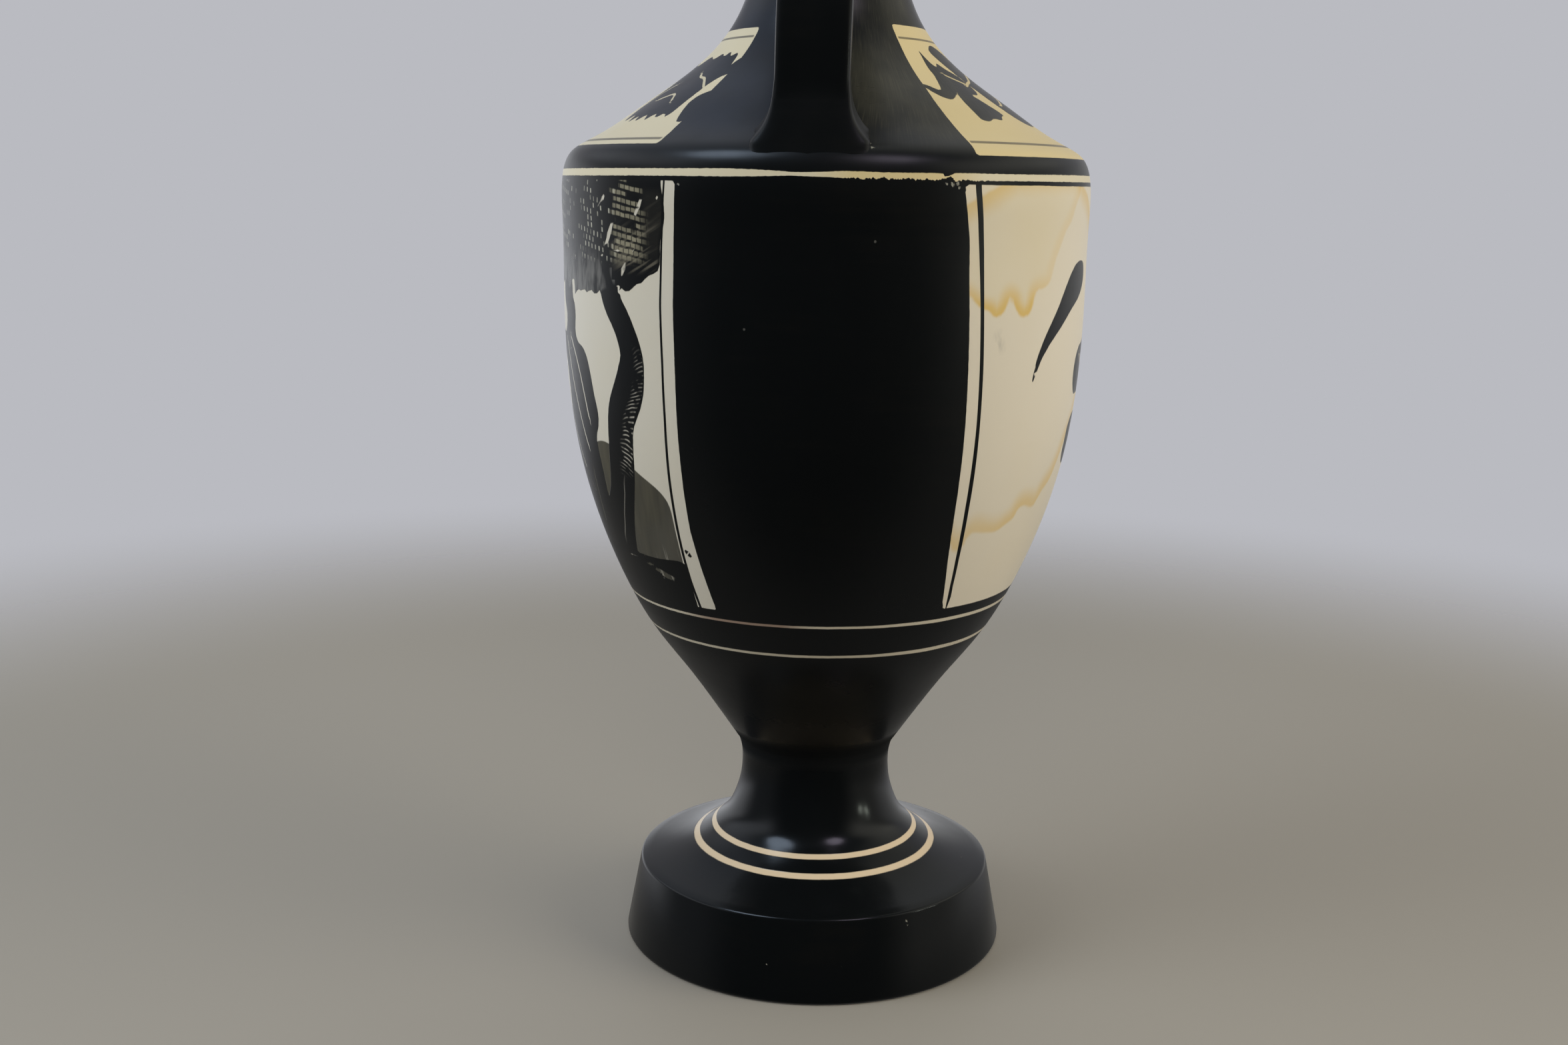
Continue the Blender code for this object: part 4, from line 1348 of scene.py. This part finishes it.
bright = blend(warmth, COOL_WINDOW, WARM_WINDOW)
high = blend(behind, FAR_CEILING, blend(warmth, COOL_CEILING, WARM_CEILING))
room = blend(ceiling, walls, high)
room = blend(beside, room, bright)
room = blend(side_z.eased(-0.15, -0.35), room, GROUND_LIGHT)
room = blend(front, room, DARK_SIDE)
seen = backdrop.node("ShaderNodeLightPath", {}, {}, 0)
shown = blend(seen, room, SEEN_WALL)
tree.links.new(shown.socket, tree.nodes["Background"].inputs["Color"])

# %% Lights
LIGHTS = (
    # name, place, watts, size, colour, lights surfaces, shows in the gloss
    ("soft_left", (0.55, -1.30, 0.95), 14.5, 1.3, (0.90, 0.95, 1.0), True, False),
    ("soft_right", (0.35, 1.40, 0.75), 13.0, 1.3, (1.0, 0.94, 0.84), True, False),
    ("soft_front", (1.20, 0.10, 1.10), 5.0, 1.0, (1.0, 0.98, 0.94), True, False),
    ("glint_left", (0.43, -0.67, 1.30), 6.5, 0.60, (0.66, 0.80, 1.0), False, True),
    ("glint_violet", (0.78, 0.60, 1.35), 2.7, 0.45, (0.90, 0.80, 1.0), False, True),
    ("glint_right", (0.42, 1.33, 0.26), 0.35, 0.06, (0.92, 1.0, 0.86), False, True),
    ("glint_far_right", (0.20, 1.38, 0.26), 0.35, 0.06, (0.92, 1.0, 0.86), False, True),
)
LIT_SPOT = Vector((0, 0, 0.17))

for name, spot, watts, size, tint, lit, glossy in LIGHTS:
    lamp = bpy.data.lights.new(name, "AREA")
    lamp.energy = watts
    lamp.shape = "DISK"
    lamp.size = size
    lamp.color = tint
    holder = bpy.data.objects.new(name, lamp)
    bpy.context.scene.collection.objects.link(holder)
    holder.location = spot
    holder.rotation_euler = (LIT_SPOT - Vector(spot)).to_track_quat("-Z", "Y").to_euler()
    holder.visible_camera = False
    holder.visible_diffuse = lit
    holder.visible_glossy = glossy

# %% Camera, at the photograph's viewing angle
CAMERA_SPOT = (0.50117, 0.02623, 0.22525)
CAMERA_HEADING = math.radians(184.2)
CAMERA_PITCH = math.radians(11.11)
CAMERA_ROLL = math.radians(0.81)
CAMERA_LENS = 39.35
CAMERA_SENSOR = 36
NEAREST_SEEN = 0.01

ahead = Vector((math.cos(CAMERA_HEADING), math.sin(CAMERA_HEADING), 0))
right = ahead.cross(Vector((0, 0, 1)))
ahead = ahead * math.cos(CAMERA_PITCH) - Vector((0, 0, 1)) * math.sin(CAMERA_PITCH)
upward = right.cross(ahead)
x_axis = right * math.cos(CAMERA_ROLL) + upward * math.sin(CAMERA_ROLL)
y_axis = upward * math.cos(CAMERA_ROLL) - right * math.sin(CAMERA_ROLL)
lens = bpy.data.cameras.new("camera")
lens.lens = CAMERA_LENS
lens.sensor_width = CAMERA_SENSOR
lens.clip_start = NEAREST_SEEN
camera = bpy.data.objects.new("camera", lens)
bpy.context.scene.collection.objects.link(camera)
camera.matrix_world = Matrix.Translation(CAMERA_SPOT) @ Matrix((x_axis, y_axis, -ahead)).transposed().to_4x4()
bpy.context.scene.camera = camera
bpy.context.scene.view_settings.view_transform = "Standard"

# %% Print the sizes of what is shown
bpy.context.view_layer.update()
low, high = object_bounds()
print("visual box in mm:", [round(MM * (b - a), 1) for a, b in zip(low, high)])
